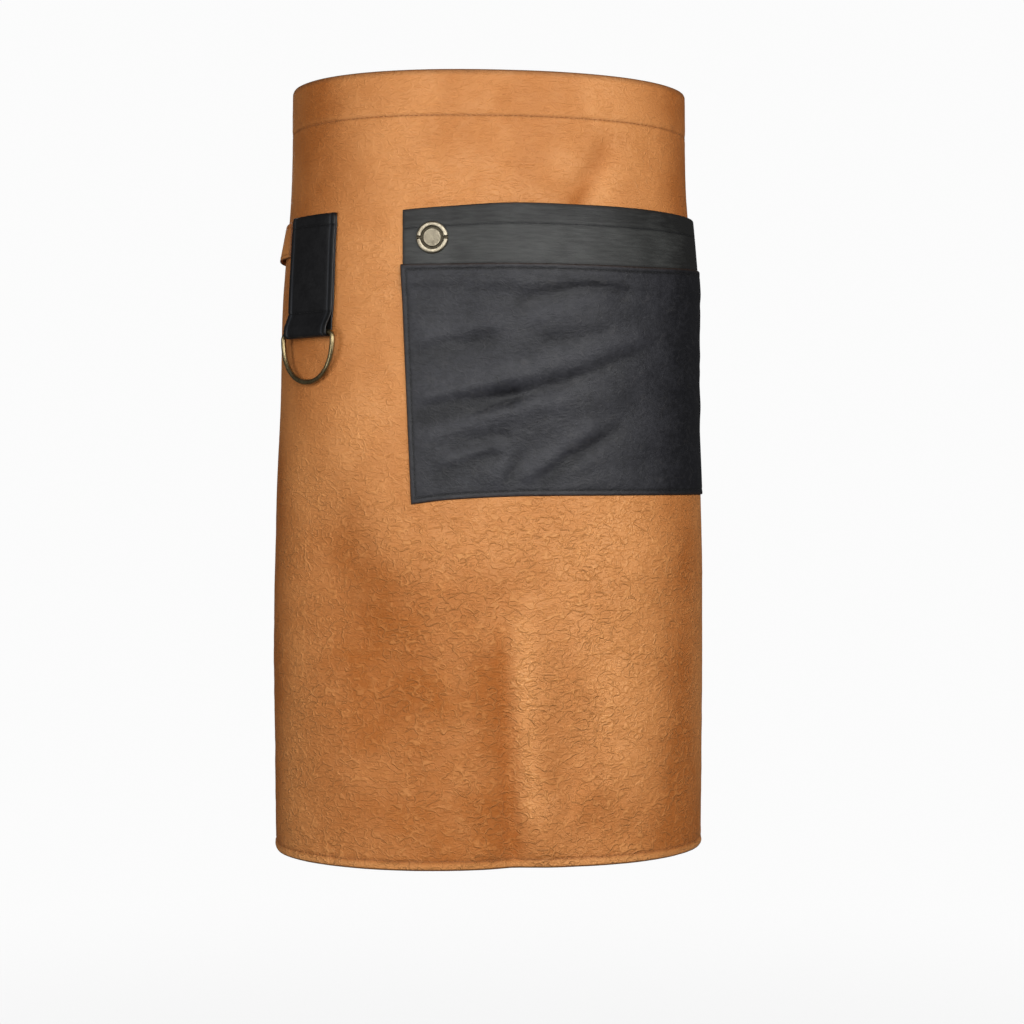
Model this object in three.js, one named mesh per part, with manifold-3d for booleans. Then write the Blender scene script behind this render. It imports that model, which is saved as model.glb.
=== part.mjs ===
// A leather waist apron, shaped as it is worn. A tan panel wraps the wearer's front and sides
// and is open at the back. It carries a wide black pocket at the right, with a smooth band sewn
// along the mouth and a metal stud at the band's corner, and a black hanger with a D-ring at
// the left. A tan waist strap runs round the back from each side, and a plain stud joins the two.
//
// Millimetres. +Z is up and the front faces -Y. The origin is the middle of the wearer's waist,
// at mid height of the waist strap.
//
// Leather is laid out flat and wrapped: a place on the apron is "across", the distance round the
// body from the front's middle (positive towards +X), a height z, and "out", the distance
// outwards from the panel's outer face.

import * as THREE from "three";
import Module from "manifold-3d";
import { mergeVertices } from "three/addons/utils/BufferGeometryUtils.js";

const wasm = await Module();
wasm.setup();

// The wearer's outline over the leather
const hipWidth = 368;
const hipDepth = 258;

// Panel
const panelWidth = 760;
const panelLength = 640;
const panelWall = 1.5;
const waistHem = 37;
const bottomHem = 9;
const sideHem = 12;
const foldDepth = 14;

// Waist straps
const strapWidth = 30;
const strapWall = 1.8;
const strapDrop = 128.5;
const strapFromHanger = 10;
const strapFromPocket = 5;
const strapOverlap = 36;
const strapLean = 3;

// Pocket
const pocketDrop = 108.5;
const pocketLeft = -88.7;
const pocketWidth = 322;
const bandHeight = 48;
const bandLap = 11;
const bandClear = 2;
const bandFade = 12;
const bandInset = 1.6;
const frontHeight = 184.5;
const pocketWall = 1.2;
const pocketBulge = 9;
const creaseDepth = 2.2;

// Studs
const studRadius = 12.8;
const studRim = 1.5;
const studDisc = 1.1;
const studDiscRadius = 7.3;
const studGroove = 1.5;
const studFoot = 0.5;
const studPost = 2.4;
const studSlot = 2;
const studSlotFloor = 0.05;
const studFromEdge = 24;
const studBelowMiddle = 3;
const strapStudRadius = 7;
const strapStudCap = 1.8;
const strapStudPost = 2.1;

// Hanger and D-ring
const hangerAcross = -173;
const hangerWidth = 56;
const hangerWall = 1.4;
const hangerTopDrop = 112;
const hangerLength = 101;
const hangerSeam = 17;
const ringWire = 4.2;
const ringSide = 2.5;
const ringHeight = 44;

// Clearances
const seamGap = 0.35;
const studGap = 0.5;
const postGap = 0.4;
const barGap = 0.5;

// Facets
const panelColumn = 13.5;
const panelRow = 34;
const hemStep = 0.8;
const hangerColumn = 8.5;
const hangerRow = 22;
const hangerCloseRow = 4;
const ringBarStep = 12;
const wireSides = 8;
const roundSides = 20;

// The body's outline from waist hem to bottom hem. "down" is a share of panelLength, "width" and
// "depth" are shares of hipWidth and hipDepth, and "square" is the outline's superellipse power.
const SECTIONS = [
  { down: 0.0, width: 0.913, depth: 0.938, square: 2.2 },
  { down: 0.13, width: 0.921, depth: 0.969, square: 2.2 },
  { down: 0.27, width: 0.959, depth: 0.984, square: 2.2 },
  { down: 0.41, width: 0.973, depth: 0.992, square: 2.2 },
  { down: 0.54, width: 0.991, depth: 0.996, square: 2.2 },
  { down: 0.68, width: 0.999, depth: 1.0, square: 2.2 },
  { down: 0.84, width: 0.996, depth: 1.0, square: 2.2 },
  { down: 1.0, width: 0.989, depth: 1.0, square: 2.2 },
];

// Folds pressed into the panel, each along a line from one place to another. "across" and
// "spread" are shares of half the panel's width, "down" of its length, "sink" of foldDepth.
const PANEL_FOLDS = [
  { fold: "between the legs", across: [-0.03, 0.04], down: [0.62, 1.0], sink: [0.05, 0.56], spread: 0.125 },
  { fold: "leg crease", across: [-0.035, 0.009], down: [0.72, 1.0], sink: [0.04, 0.3], spread: 0.042 },
  { fold: "left thigh hollow", across: [-0.36, -0.3], down: [0.6, 0.84], sink: [0.26, 0.2], spread: 0.11 },
  { fold: "left thigh ridge", across: [-0.56, -0.56], down: [0.66, 0.95], sink: [-0.12, -0.16], spread: 0.07 },
  { fold: "left hip dent", across: [-0.44, -0.38], down: [0.54, 0.58], sink: [0.2, 0.12], spread: 0.055 },
  { fold: "right waist crease", across: [0.14, 0.31], down: [0.165, 0.085], sink: [0.15, 0.12], spread: 0.036 },
  { fold: "right knee dent", across: [0.2, 0.13], down: [0.84, 0.9], sink: [0.14, 0.1], spread: 0.05 },
];

// Creases in the pocket front. "along" and "spread" are shares of pocketWidth, "down" of
// frontHeight, "sink" of creaseDepth.
const POCKET_CREASES = [
  { fold: "long crease", along: [0.04, 0.66], down: [0.58, 0.36], sink: [1.0, 0.5], spread: 0.038 },
  { fold: "upper crease", along: [0.03, 0.3], down: [0.33, 0.26], sink: [0.6, 0.4], spread: 0.035 },
  { fold: "roll under it", along: [0.08, 0.64], down: [0.72, 0.52], sink: [-0.7, -0.5], spread: 0.042 },
  { fold: "corner crease", along: [0.32, 0.6], down: [0.96, 0.7], sink: [0.9, 0.6], spread: 0.035 },
];

// The pocket's cut edges along its width, as shares of frontHeight: "rise" lifts the mouth,
// "lift" the seam under the band, "dip" drops the bottom and "slant" moves it to the right.
const POCKET_EDGES = [
  { along: 0.0, rise: -0.024, lift: 0.0, dip: 0.038, slant: 0.044 },
  { along: 0.1, rise: -0.012, lift: 0.0, dip: 0.018, slant: 0.03 },
  { along: 0.3, rise: 0.003, lift: 0.0, dip: 0.002, slant: 0.01 },
  { along: 0.6, rise: 0.002, lift: 0.004, dip: 0.0, slant: 0.0 },
  { along: 0.85, rise: 0.002, lift: 0.026, dip: 0.0, slant: 0.0 },
  { along: 1.0, rise: 0.002, lift: 0.034, dip: 0.0, slant: 0.0 },
];

// How far the pocket stands off the panel: "at" runs along its width from left to right, or down
// from mouth to bottom, and "share" is of pocketBulge.
const BULGE_ALONG = [
  { at: 0.0, share: 0.0 },
  { at: 0.12, share: 0.04 },
  { at: 0.27, share: 1.0 },
  { at: 0.47, share: 1.0 },
  { at: 0.68, share: 0.55 },
  { at: 0.93, share: 0.32 },
  { at: 1.0, share: 0.0 },
];
const BULGE_DOWN = [
  { at: 0.0, share: 0.95 },
  { at: 0.2, share: 1.0 },
  { at: 0.42, share: 0.9 },
  { at: 0.62, share: 0.5 },
  { at: 0.82, share: 0.16 },
  { at: 1.0, share: 0.0 },
];

// The hanger from its top down, as shares of hangerLength: "width" is a share of hangerWidth,
// and "flat" is 0 where it follows the body and 1 where it lies flat, along the ring's bar.
const HANGER_SHAPE = [
  { down: 0.0, width: 1.0, flat: 0.2 },
  { down: 0.12, width: 1.0, flat: 0.25 },
  { down: 0.24, width: 0.98, flat: 0.35 },
  { down: 0.74, width: 0.975, flat: 0.75 },
  { down: 0.86, width: 0.95, flat: 1.0 },
  { down: 1.0, width: 0.93, flat: 1.0 },
];

const topZ = strapDrop;
const bottomZ = topZ - panelLength;
const halfPanel = panelWidth / 2;

// A smooth curve through a table's rows, read at one place of the column "at".
function read(table, at, place, value) {
  const last = table.length - 1;
  const t = THREE.MathUtils.clamp(place, table[0][at], table[last][at]);
  let i = 0;
  while (i < last - 1 && t > table[i + 1][at]) i += 1;
  const span = table[i + 1][at] - table[i][at];
  const rise = table[i + 1][value] - table[i][value];
  const slope = (k) => {
    const [a, b] = [table[Math.max(k - 1, 0)], table[Math.min(k + 1, last)]];
    const mean = (b[value] - a[value]) / (b[at] - a[at]);
    return Math.sign(rise) * THREE.MathUtils.clamp(mean * Math.sign(rise), 0, (3 * Math.abs(rise)) / span);
  };
  const s = (t - table[i][at]) / span;
  const [m0, m1] = [slope(i) * span, slope(i + 1) * span];
  return table[i][value] + s * m0 + s * s * (3 * rise - 2 * m0 - m1) + s * s * s * (m0 + m1 - 2 * rise);
}

// The body's outline at one height: points once round from the front's middle, each with its
// distance along the outline.
const outlines = new Map();
function outline(z) {
  const key = z.toFixed(3);
  if (outlines.has(key)) return outlines.get(key);
  const down = (topZ - z) / panelLength;
  const halfWidth = (read(SECTIONS, "down", down, "width") * hipWidth) / 2;
  const halfDepth = (read(SECTIONS, "down", down, "depth") * hipDepth) / 2;
  const power = 2 / read(SECTIONS, "down", down, "square");
  const steps = 720;
  const points = [];
  let length = 0;
  for (let i = 0; i <= steps; i++) {
    const angle = (i / steps) * Math.PI * 2;
    const [s, c] = [Math.sin(angle), Math.cos(angle)];
    const x = halfWidth * Math.sign(s) * Math.abs(s) ** power;
    const y = -halfDepth * Math.sign(c) * Math.abs(c) ** power;
    if (i) length += Math.hypot(x - points[i - 1].x, y - points[i - 1].y);
    points.push({ x, y, length });
  }
  outlines.set(key, points);
  return points;
}

// The distance from the front's middle to the back's.
function halfRound(z) {
  return outline(z).at(-1).length / 2;
}

// The point at a distance round the outline, with either sign.
function onOutline(across, z) {
  const points = outline(z);
  const whole = points.at(-1).length;
  const way = ((across % whole) + whole) % whole;
  let [low, high] = [0, points.length - 1];
  while (high - low > 1) {
    const mid = (low + high) >> 1;
    if (points[mid].length <= way) low = mid;
    else high = mid;
  }
  const [a, b] = [points[low], points[high]];
  const s = (way - a.length) / (b.length - a.length);
  return new THREE.Vector3(a.x + (b.x - a.x) * s, a.y + (b.y - a.y) * s, z);
}

// Unit vectors along the leather and out of it, both level, from the outline's chord over a short
// reach to either side.
function directions(across, z) {
  const reach = 4;
  const along = onOutline(across + reach, z).sub(onOutline(across - reach, z)).normalize();
  return { along, out: new THREE.Vector3(along.y, -along.x, 0) };
}

// Folds as lines in millimetres, from a table whose rows give shares of a width and a length.
function foldLines(table, column, width, length) {
  return table.map((row) => ({
    right: row[column].map((share) => share * width),
    down: row.down.map((share) => share * length),
    sink: row.sink,
    spread: row.spread * width,
  }));
}
const panelFolds = foldLines(PANEL_FOLDS, "across", halfPanel, panelLength);
const pocketCreases = foldLines(POCKET_CREASES, "along", pocketWidth, frontHeight);

// How far folds sink the leather at one place: each fades to its sides and past its ends.
function sunk(folds, depth, right, down) {
  let total = 0;
  for (const f of folds) {
    const [dx, dy] = [f.right[1] - f.right[0], f.down[1] - f.down[0]];
    const way = ((right - f.right[0]) * dx + (down - f.down[0]) * dy) / (dx * dx + dy * dy);
    const s = THREE.MathUtils.clamp(way, 0, 1);
    const away = Math.hypot(right - f.right[0] - s * dx, down - f.down[0] - s * dy);
    const sink = f.sink[0] + (f.sink[1] - f.sink[0]) * s;
    total += depth * sink * Math.exp(-(away * away) / (2 * f.spread * f.spread));
  }
  return total;
}

// The place on the apron, "out" from the panel's outer face, with the panel's folds.
function wrap(across, z, out) {
  const lift = out - sunk(panelFolds, foldDepth, across, topZ - z);
  return onOutline(across, z).addScaledVector(directions(across, z).out, lift);
}

// Places no further apart than a step, ends included.
function spaced(from, to, step) {
  const count = Math.max(1, Math.ceil((to - from) / step));
  return Array.from({ length: count + 1 }, (_, i) => from + ((to - from) * i) / count);
}

// What lies on the panel shares its columns, so that their facets are parallel.
const panelColumns = spaced(-halfPanel + sideHem, halfPanel - sideHem, panelColumn);
function columnsBetween(from, to) {
  const least = panelColumn / 4;
  return [from, ...panelColumns.filter((c) => c > from + least && c < to - least), to];
}

function geometryOf(position, index) {
  const geometry = new THREE.BufferGeometry();
  geometry.setAttribute("position", new THREE.Float32BufferAttribute(position, 3));
  geometry.setIndex(index);
  return geometry;
}

// A closed sheet of leather: face(column, row, side) gives a point, with side 1 on the outer
// face and 0 on the inner one.
function sheet(columns, rows, face) {
  const [nc, nr] = [columns.length, rows.length];
  const position = [];
  for (const side of [1, 0]) {
    for (const r of rows) {
      for (const c of columns) position.push(...face(c, r, side).toArray());
    }
  }
  const at = (c, r, side) => (side ? 0 : nc * nr) + r * nc + c;
  const index = [];
  const quad = (a, b, c, d) => index.push(a, b, c, a, c, d);
  for (let r = 0; r < nr - 1; r++) {
    for (let c = 0; c < nc - 1; c++) {
      quad(at(c, r, 1), at(c + 1, r, 1), at(c + 1, r + 1, 1), at(c, r + 1, 1));
      quad(at(c, r, 0), at(c, r + 1, 0), at(c + 1, r + 1, 0), at(c + 1, r, 0));
    }
  }
  for (let c = 0; c < nc - 1; c++) {
    quad(at(c, 0, 0), at(c + 1, 0, 0), at(c + 1, 0, 1), at(c, 0, 1));
    quad(at(c, nr - 1, 1), at(c + 1, nr - 1, 1), at(c + 1, nr - 1, 0), at(c, nr - 1, 0));
  }
  for (let r = 0; r < nr - 1; r++) {
    quad(at(0, r, 1), at(0, r + 1, 1), at(0, r + 1, 0), at(0, r, 0));
    quad(at(nc - 1, r, 0), at(nc - 1, r + 1, 0), at(nc - 1, r + 1, 1), at(nc - 1, r, 1));
  }
  return geometryOf(position, index);
}

// A closed tube round a path that ends where it starts. The path runs clockwise in local XZ.
function closedTube(path, radius, sides) {
  const position = [];
  const count = path.length;
  path.forEach(([x, z], i) => {
    const [ax, az] = path[(i + count - 1) % count];
    const [bx, bz] = path[(i + 1) % count];
    const length = Math.hypot(bx - ax, bz - az);
    for (let k = 0; k < sides; k++) {
      const angle = (k / sides) * Math.PI * 2;
      const inPlane = (radius * Math.cos(angle)) / length;
      position.push(x - inPlane * (bz - az), -radius * Math.sin(angle), z + inPlane * (bx - ax));
    }
  });
  const index = [];
  for (let i = 0; i < count; i++) {
    for (let k = 0; k < sides; k++) {
      const [here, next] = [i * sides, ((i + 1) % count) * sides];
      const l = (k + 1) % sides;
      index.push(here + k, here + l, next + l, here + k, next + l, next + k);
    }
  }
  return geometryOf(position, index);
}

// A solid of revolution about local Z. Its profile of [radius, height] goes up, from the axis to
// the axis.
function turned(profile, sides) {
  const geometry = new THREE.LatheGeometry(profile.map(([r, h]) => new THREE.Vector2(r, h)), sides);
  return geometry.rotateX(Math.PI / 2);
}

// manifold-3d joins and cuts closed geometries.
function toSolid(geometry) {
  const bare = new THREE.BufferGeometry();
  bare.setAttribute("position", geometry.getAttribute("position"));
  bare.setIndex(geometry.index);
  const merged = mergeVertices(bare, 1e-4);
  const mesh = new wasm.Mesh({
    numProp: 3,
    vertProperties: new Float32Array(merged.attributes.position.array),
    triVerts: new Uint32Array(merged.index.array),
  });
  return new wasm.Manifold(mesh);
}

function fromSolid(solid) {
  const mesh = solid.getMesh();
  return geometryOf(Array.from(mesh.vertProperties), Array.from(mesh.triVerts));
}

// Where a piece sits on the leather: its local X runs along the leather, Y up and Z out.
function seatOnLeather(across, z, out) {
  const { along, out: away } = directions(across, z);
  return new THREE.Matrix4().makeBasis(along, new THREE.Vector3(0, 0, 1), away).setPosition(wrap(across, z, out));
}

// Cuts a post's hole through a sheet of leather.
function pierced(geometry, radius, seat) {
  const reach = 15;
  const [r, ends] = [radius + postGap, [-reach, reach]];
  const pin = turned([[0, ends[0]], [r, ends[0]], [r, ends[1]], [0, ends[1]]], roundSides);
  return fromSolid(toSolid(geometry).subtract(toSolid(pin.applyMatrix4(seat))));
}

// Panel: one wall, double where its hems are turned in
function panelGeometry() {
  const [hemZ, waistZ, sideHemStart] = [bottomZ + bottomHem, topZ - waistHem, halfPanel - sideHem];
  const columns = [-halfPanel, -sideHemStart - hemStep, ...panelColumns, sideHemStart + hemStep, halfPanel];
  const rows = [bottomZ, hemZ, ...spaced(hemZ + hemStep, waistZ - hemStep, panelRow), waistZ, topZ];
  return sheet(columns, rows, (c, r, side) => {
    const hemmed = r >= waistZ || r <= hemZ || Math.abs(c) > sideHemStart + hemStep / 2;
    return wrap(c, r, side ? 0 : hemmed ? -2 * panelWall : -panelWall);
  });
}

// Pocket: a front sewn to the panel at its left, right and bottom, and a smooth band along the
// mouth, which runs down behind the front's top edge
const mouthZ = topZ - pocketDrop;
const seamZ = mouthZ - bandHeight;
const pocketHeight = bandHeight + frontHeight;
const pocketRight = pocketLeft + pocketWidth;

function edge(across, value) {
  return frontHeight * read(POCKET_EDGES, "along", (across - pocketLeft) / pocketWidth, value);
}

function standOffShare(across, z) {
  const along = read(BULGE_ALONG, "at", (across - pocketLeft) / pocketWidth, "share");
  return along * read(BULGE_DOWN, "at", (mouthZ - z) / pocketHeight, "share");
}

function bandOut(across, z) {
  return seamGap + pocketBulge * standOffShare(across, z);
}

function bandGeometry() {
  const columns = columnsBetween(pocketLeft + bandInset, pocketRight - bandInset);
  return sheet(columns, [0, 0.25, 0.5, 0.75, 1], (c, r, side) => {
    const low = seamZ - bandLap + edge(c, "lift");
    const z = low + (mouthZ + edge(c, "rise") - low) * r;
    return wrap(c, z, bandOut(c, z) + side * pocketWall);
  });
}

// The front passes outside the band, and comes back to the panel below the band's hidden edge.
function frontOut(across, z) {
  const clearOfBand = seamZ - bandLap - bandClear;
  const over = THREE.MathUtils.smoothstep(z, clearOfBand - bandFade, clearOfBand);
  return bandOut(across, z) + over * (pocketWall + seamGap);
}

function frontGeometry() {
  const rows = [0, 0.1, 0.22, 0.34, 0.46, 0.58, 0.7, 0.78, 0.86, 0.93, 1];
  return sheet(columnsBetween(pocketLeft, pocketRight), rows, (c, r, side) => {
    const low = seamZ - frontHeight - edge(c, "dip");
    const z = low + (seamZ + edge(c, "lift") - low) * r;
    const across = c + edge(c, "slant") * (1 - r);
    const crease = sunk(pocketCreases, creaseDepth, c - pocketLeft, seamZ - z) * standOffShare(across, z);
    return wrap(across, z, frontOut(across, z) - crease + side * pocketWall);
  });
}

// Pocket stud: a raised rim in two halves round a flat disc, with a post through band and panel
const studAcross = pocketLeft + bandInset + studFromEdge;
const studZ = mouthZ - bandHeight / 2 - studBelowMiddle;
const pocketStudSeat = seatOnLeather(studAcross, studZ, 0);

function pocketStudGeometry() {
  const back = -panelWall - studGap;
  const seat = bandOut(studAcross, studZ) + pocketWall + studGap;
  const face = seat + studFoot;
  const groove = studDiscRadius + studGroove;
  const stud = turned([
    [0, back - 2 * studFoot],
    [studDiscRadius - studFoot, back - 2 * studFoot],
    [studDiscRadius, back - studFoot],
    [studDiscRadius, back],
    [studPost, back],
    [studPost, seat],
    [studRadius - studFoot, seat],
    [studRadius, face],
    [studRadius - studFoot, face + studRim],
    [groove + studFoot, face + studRim],
    [groove, face],
    [studDiscRadius, face],
    [studDiscRadius - studFoot, face + studDisc],
    [0, face + studDisc],
  ], roundSides);
  const slot = new THREE.BoxGeometry(2 * studRadius, studSlot, 2 * studRim);
  slot.translate(0, 0, face + studRim + studSlotFloor);
  const kept = turned([[0, seat], [groove, seat], [groove, face + 3 * studRim], [0, face + 3 * studRim]], roundSides);
  return fromSolid(toSolid(stud).subtract(toSolid(slot).subtract(toSolid(kept))));
}

// Waist straps: sewn flat at the sides, where the lower edge leans out from the hips, and lapped
// at the back with the left one outside
const hangerEdge = Math.abs(hangerAcross) + hangerWidth / 2;
const strapStarts = { left: hangerEdge + strapFromHanger, right: pocketRight + strapFromPocket };
const backMiddle = halfRound(0);

function strapGeometry(sign, start, lap) {
  const end = backMiddle + strapOverlap;
  const lift = backMiddle - strapOverlap - panelColumn;
  const onPanel = columnsBetween(start, halfPanel - sideHem);
  const columns = [...onPanel, ...spaced(halfPanel - sideHem, end, panelColumn).slice(1)];
  if (sign < 0) columns.reverse();
  const rows = [-strapWidth / 2, 0, strapWidth / 2];
  return sheet(columns.map((c) => c * sign), rows, (c, r, side) => {
    const round = Math.abs(c);
    const lapped = THREE.MathUtils.smoothstep(round, lift - strapOverlap, lift);
    const free = THREE.MathUtils.smoothstep(round, start, start + strapWidth) * (1 - lapped);
    const lean = strapLean * free * (0.5 - r / strapWidth);
    return wrap(c, r, seamGap + lean + lap * lapped * (strapWall + seamGap) + side * strapWall);
  });
}

const strapStudSeat = seatOnLeather(backMiddle, 0, 0);

function strapStudGeometry() {
  const back = seamGap - studGap;
  const seat = 2 * (seamGap + strapWall) + studGap;
  return turned([
    [0, back - strapStudCap],
    [strapStudRadius, back - strapStudCap],
    [strapStudRadius, back],
    [strapStudPost, back],
    [strapStudPost, seat],
    [strapStudRadius, seat],
    [strapStudRadius, seat + strapStudCap / 2],
    [strapStudRadius - strapStudCap, seat + strapStudCap],
    [0, seat + strapStudCap],
  ], roundSides);
}

// Hanger: a strip sewn to the panel, folded round the ring's bar and brought back up in front.
const barRadius = ringWire / 2;
const loopRadius = barRadius + barGap + hangerWall / 2;
const hangerTopZ = topZ - hangerTopDrop;
const barZ = hangerTopZ - hangerLength + loopRadius + hangerWall / 2;
const backOut = seamGap + hangerWall / 2;
const barOut = backOut + loopRadius;
const ringSeat = seatOnLeather(hangerAcross, barZ, barOut);
const barAlong = directions(hangerAcross, barZ).along;

function onHanger(right, z, out) {
  const flat = read(HANGER_SHAPE, "down", (hangerTopZ - z) / hangerLength, "flat");
  const level = wrap(hangerAcross, z, out).addScaledVector(barAlong, right);
  return wrap(hangerAcross + right, z, out).lerp(level, flat);
}

// The strip's middle line, from the back layer's top round the bar to the front layer's top. The
// front layer closes on the back one at the seam.
function hangerLine() {
  const seam = barZ + hangerSeam;
  const frontOfBack = backOut + hangerWall + seamGap;
  const layerRows = spaced(seam, hangerTopZ, hangerRow);
  const line = [...[...layerRows].reverse(), barZ + hangerSeam / 2].map((z) => ({ z, out: backOut }));
  for (let i = 0; i <= wireSides; i++) {
    const angle = (i / wireSides) * Math.PI;
    line.push({ z: barZ - loopRadius * Math.sin(angle), out: barOut - loopRadius * Math.cos(angle) });
  }
  for (const z of spaced(barZ, seam, hangerCloseRow).slice(1)) {
    const closed = THREE.MathUtils.smoothstep(z, barZ + barRadius, seam);
    line.push({ z, out: barOut + loopRadius + closed * (frontOfBack - barOut - loopRadius) });
  }
  for (const z of layerRows.slice(1)) line.push({ z, out: frontOfBack });
  return line;
}

function hangerGeometry() {
  const line = hangerLine();
  const stations = line.map((p, i) => {
    const a = line[Math.max(i - 1, 0)];
    const b = line[Math.min(i + 1, line.length - 1)];
    const length = Math.hypot(b.z - a.z, b.out - a.out);
    const width = hangerWidth * read(HANGER_SHAPE, "down", (hangerTopZ - p.z) / hangerLength, "width");
    return { ...p, width, offZ: (b.out - a.out) / length, offOut: (a.z - b.z) / length };
  });
  const columns = spaced(-hangerWidth / 2, hangerWidth / 2, hangerColumn);
  return sheet(columns, stations, (c, s, side) => {
    const half = (side ? -1 : 1) * (hangerWall / 2);
    return onHanger((c * s.width) / hangerWidth, s.z + half * s.offZ, s.out + half * s.offOut);
  });
}

// D-ring: a bar at the top of local XZ, two rounded corners and a bow, as one wire. The bar is
// on the local X axis, as long as the hanger's fold is wide.
function ringPath() {
  const foldWidth = hangerWidth * HANGER_SHAPE.at(-1).width;
  const half = foldWidth / 2 + ringSide + barRadius;
  const corner = ringSide + barRadius;
  const bow = ringHeight - ringWire - corner;
  const [cornerSteps, bowSteps, roundness] = [3, 20, 0.92];
  const path = spaced(-half + corner, half - corner, ringBarStep).map((x) => [x, 0]);
  for (let i = 1; i < cornerSteps; i++) {
    const angle = (i / cornerSteps) * (Math.PI / 2);
    path.push([half - corner + corner * Math.sin(angle), -corner + corner * Math.cos(angle)]);
  }
  for (let i = 0; i <= bowSteps; i++) {
    const angle = (i / bowSteps) * Math.PI;
    const across = Math.sign(Math.cos(angle)) * Math.abs(Math.cos(angle)) ** roundness;
    path.push([half * across, -corner - bow * Math.sin(angle) ** roundness]);
  }
  for (let i = 1; i < cornerSteps; i++) {
    const angle = (i / cornerSteps) * (Math.PI / 2);
    path.push([-half + corner - corner * Math.cos(angle), -corner + corner * Math.sin(angle)]);
  }
  return path;
}

function ringGeometry() {
  return closedTube(ringPath(), barRadius, wireSides).rotateX(-Math.PI / 2);
}

// Finishes
const tanLeather = new THREE.MeshStandardMaterial({ color: "#c07a3c", roughness: 0.55, metalness: 0 });
const blackLeather = new THREE.MeshStandardMaterial({ color: "#2c2c30", roughness: 0.6, metalness: 0 });
const bandLeather = new THREE.MeshStandardMaterial({ color: "#3a3a3c", roughness: 0.55, metalness: 0 });
const antiqueBrass = new THREE.MeshStandardMaterial({ color: "#8f8468", roughness: 0.4, metalness: 1 });

// Assembly
const apron = new THREE.Group();

function addPiece(name, geometry, material, seat = new THREE.Matrix4()) {
  geometry.computeVertexNormals();
  const mesh = new THREE.Mesh(geometry, material);
  mesh.name = name;
  seat.decompose(mesh.position, mesh.quaternion, mesh.scale);
  apron.add(mesh);
}

addPiece("apron_panel", pierced(panelGeometry(), studPost, pocketStudSeat), tanLeather);
addPiece("pocket_front", frontGeometry(), blackLeather);
addPiece("pocket_band", pierced(bandGeometry(), studPost, pocketStudSeat), bandLeather);
addPiece("pocket_stud", pocketStudGeometry(), antiqueBrass, pocketStudSeat);
addPiece("hanger_strap", hangerGeometry(), blackLeather);
addPiece("d_ring", ringGeometry(), antiqueBrass, ringSeat);
addPiece("waist_strap_left", pierced(strapGeometry(-1, strapStarts.left, 1), strapStudPost, strapStudSeat), tanLeather);
addPiece("waist_strap_right", pierced(strapGeometry(1, strapStarts.right, 0), strapStudPost, strapStudSeat), tanLeather);
addPiece("strap_stud", strapStudGeometry(), antiqueBrass, strapStudSeat);

export default apron;
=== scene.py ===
import math

import bpy
import numpy as np
from mathutils import Matrix, Vector, noise


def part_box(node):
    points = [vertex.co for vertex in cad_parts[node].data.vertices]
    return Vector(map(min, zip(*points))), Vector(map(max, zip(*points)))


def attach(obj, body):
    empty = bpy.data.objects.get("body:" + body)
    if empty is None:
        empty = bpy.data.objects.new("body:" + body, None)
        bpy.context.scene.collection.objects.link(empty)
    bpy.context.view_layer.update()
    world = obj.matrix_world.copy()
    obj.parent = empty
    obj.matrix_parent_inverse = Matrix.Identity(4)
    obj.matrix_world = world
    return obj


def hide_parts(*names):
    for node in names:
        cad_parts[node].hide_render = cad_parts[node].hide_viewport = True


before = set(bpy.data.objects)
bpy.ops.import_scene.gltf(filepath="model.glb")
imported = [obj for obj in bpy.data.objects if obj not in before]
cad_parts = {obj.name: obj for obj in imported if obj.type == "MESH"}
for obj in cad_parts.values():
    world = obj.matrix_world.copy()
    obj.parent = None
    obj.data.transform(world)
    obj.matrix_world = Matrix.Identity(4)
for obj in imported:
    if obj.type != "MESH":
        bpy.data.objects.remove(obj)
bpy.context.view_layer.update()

# A leather waist apron, dressed as worn: a crinkled tan panel, a black pocket with a smooth band
# and a stud, a black hanger with a D-ring, and two tan waist straps.
#
# Lengths are in millimetres and turn to metres where a mesh is made. A place on the leather is
# "across", the distance round the body from the front's middle, a height z, and "out", the
# distance outwards from the panel's outer face.

MM = 0.001

# The wearer's outline, and the panel
HIP_WIDTH = 368
HIP_DEPTH = 258
TOP_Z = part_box("apron_panel")[1].z / MM
BOTTOM_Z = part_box("apron_panel")[0].z / MM
PANEL_LENGTH = TOP_Z - BOTTOM_Z
PANEL_WIDTH = 760
PANEL_WALL = 1.5
WAIST_HEM = 37
BOTTOM_HEM = 9
SIDE_HEM = 12
FOLD_DEPTH = 14

# Pocket
POCKET_LEFT = -88.7
POCKET_WIDTH = 322
POCKET_DROP = 108.5
BAND_HEIGHT = 48
BAND_LAP = 11
BAND_CLEAR = 2
BAND_FADE = 12
BAND_INSET = 1.6
FRONT_HEIGHT = 184.5
POCKET_WALL = 1.2
POCKET_BULGE = 9
CREASE_DEPTH = 2.2
MOUTH_Z = TOP_Z - POCKET_DROP
SEAM_Z = MOUTH_Z - BAND_HEIGHT
POCKET_RIGHT = POCKET_LEFT + POCKET_WIDTH

# Hanger and D-ring
HANGER_ACROSS = -173
HANGER_WIDTH = 56
HANGER_WALL = 1.4
HANGER_TOP_DROP = 112
HANGER_LENGTH = 101
HANGER_SEAM = 17
RING_WIRE = 4.2
RING_SIDE = 2.5
RING_HEIGHT = 44
BAR_GAP = 0.5
HANGER_TOP_Z = TOP_Z - HANGER_TOP_DROP

# Waist straps
STRAP_WIDTH = 30
STRAP_WALL = 1.8
STRAP_OVERLAP = 36
STRAP_LEAN = 3
STRAP_LAP_STEP = 13.5
LEFT_STRAP_START = -HANGER_ACROSS + HANGER_WIDTH / 2 + 10
RIGHT_STRAP_START = POCKET_RIGHT + 5

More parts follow.
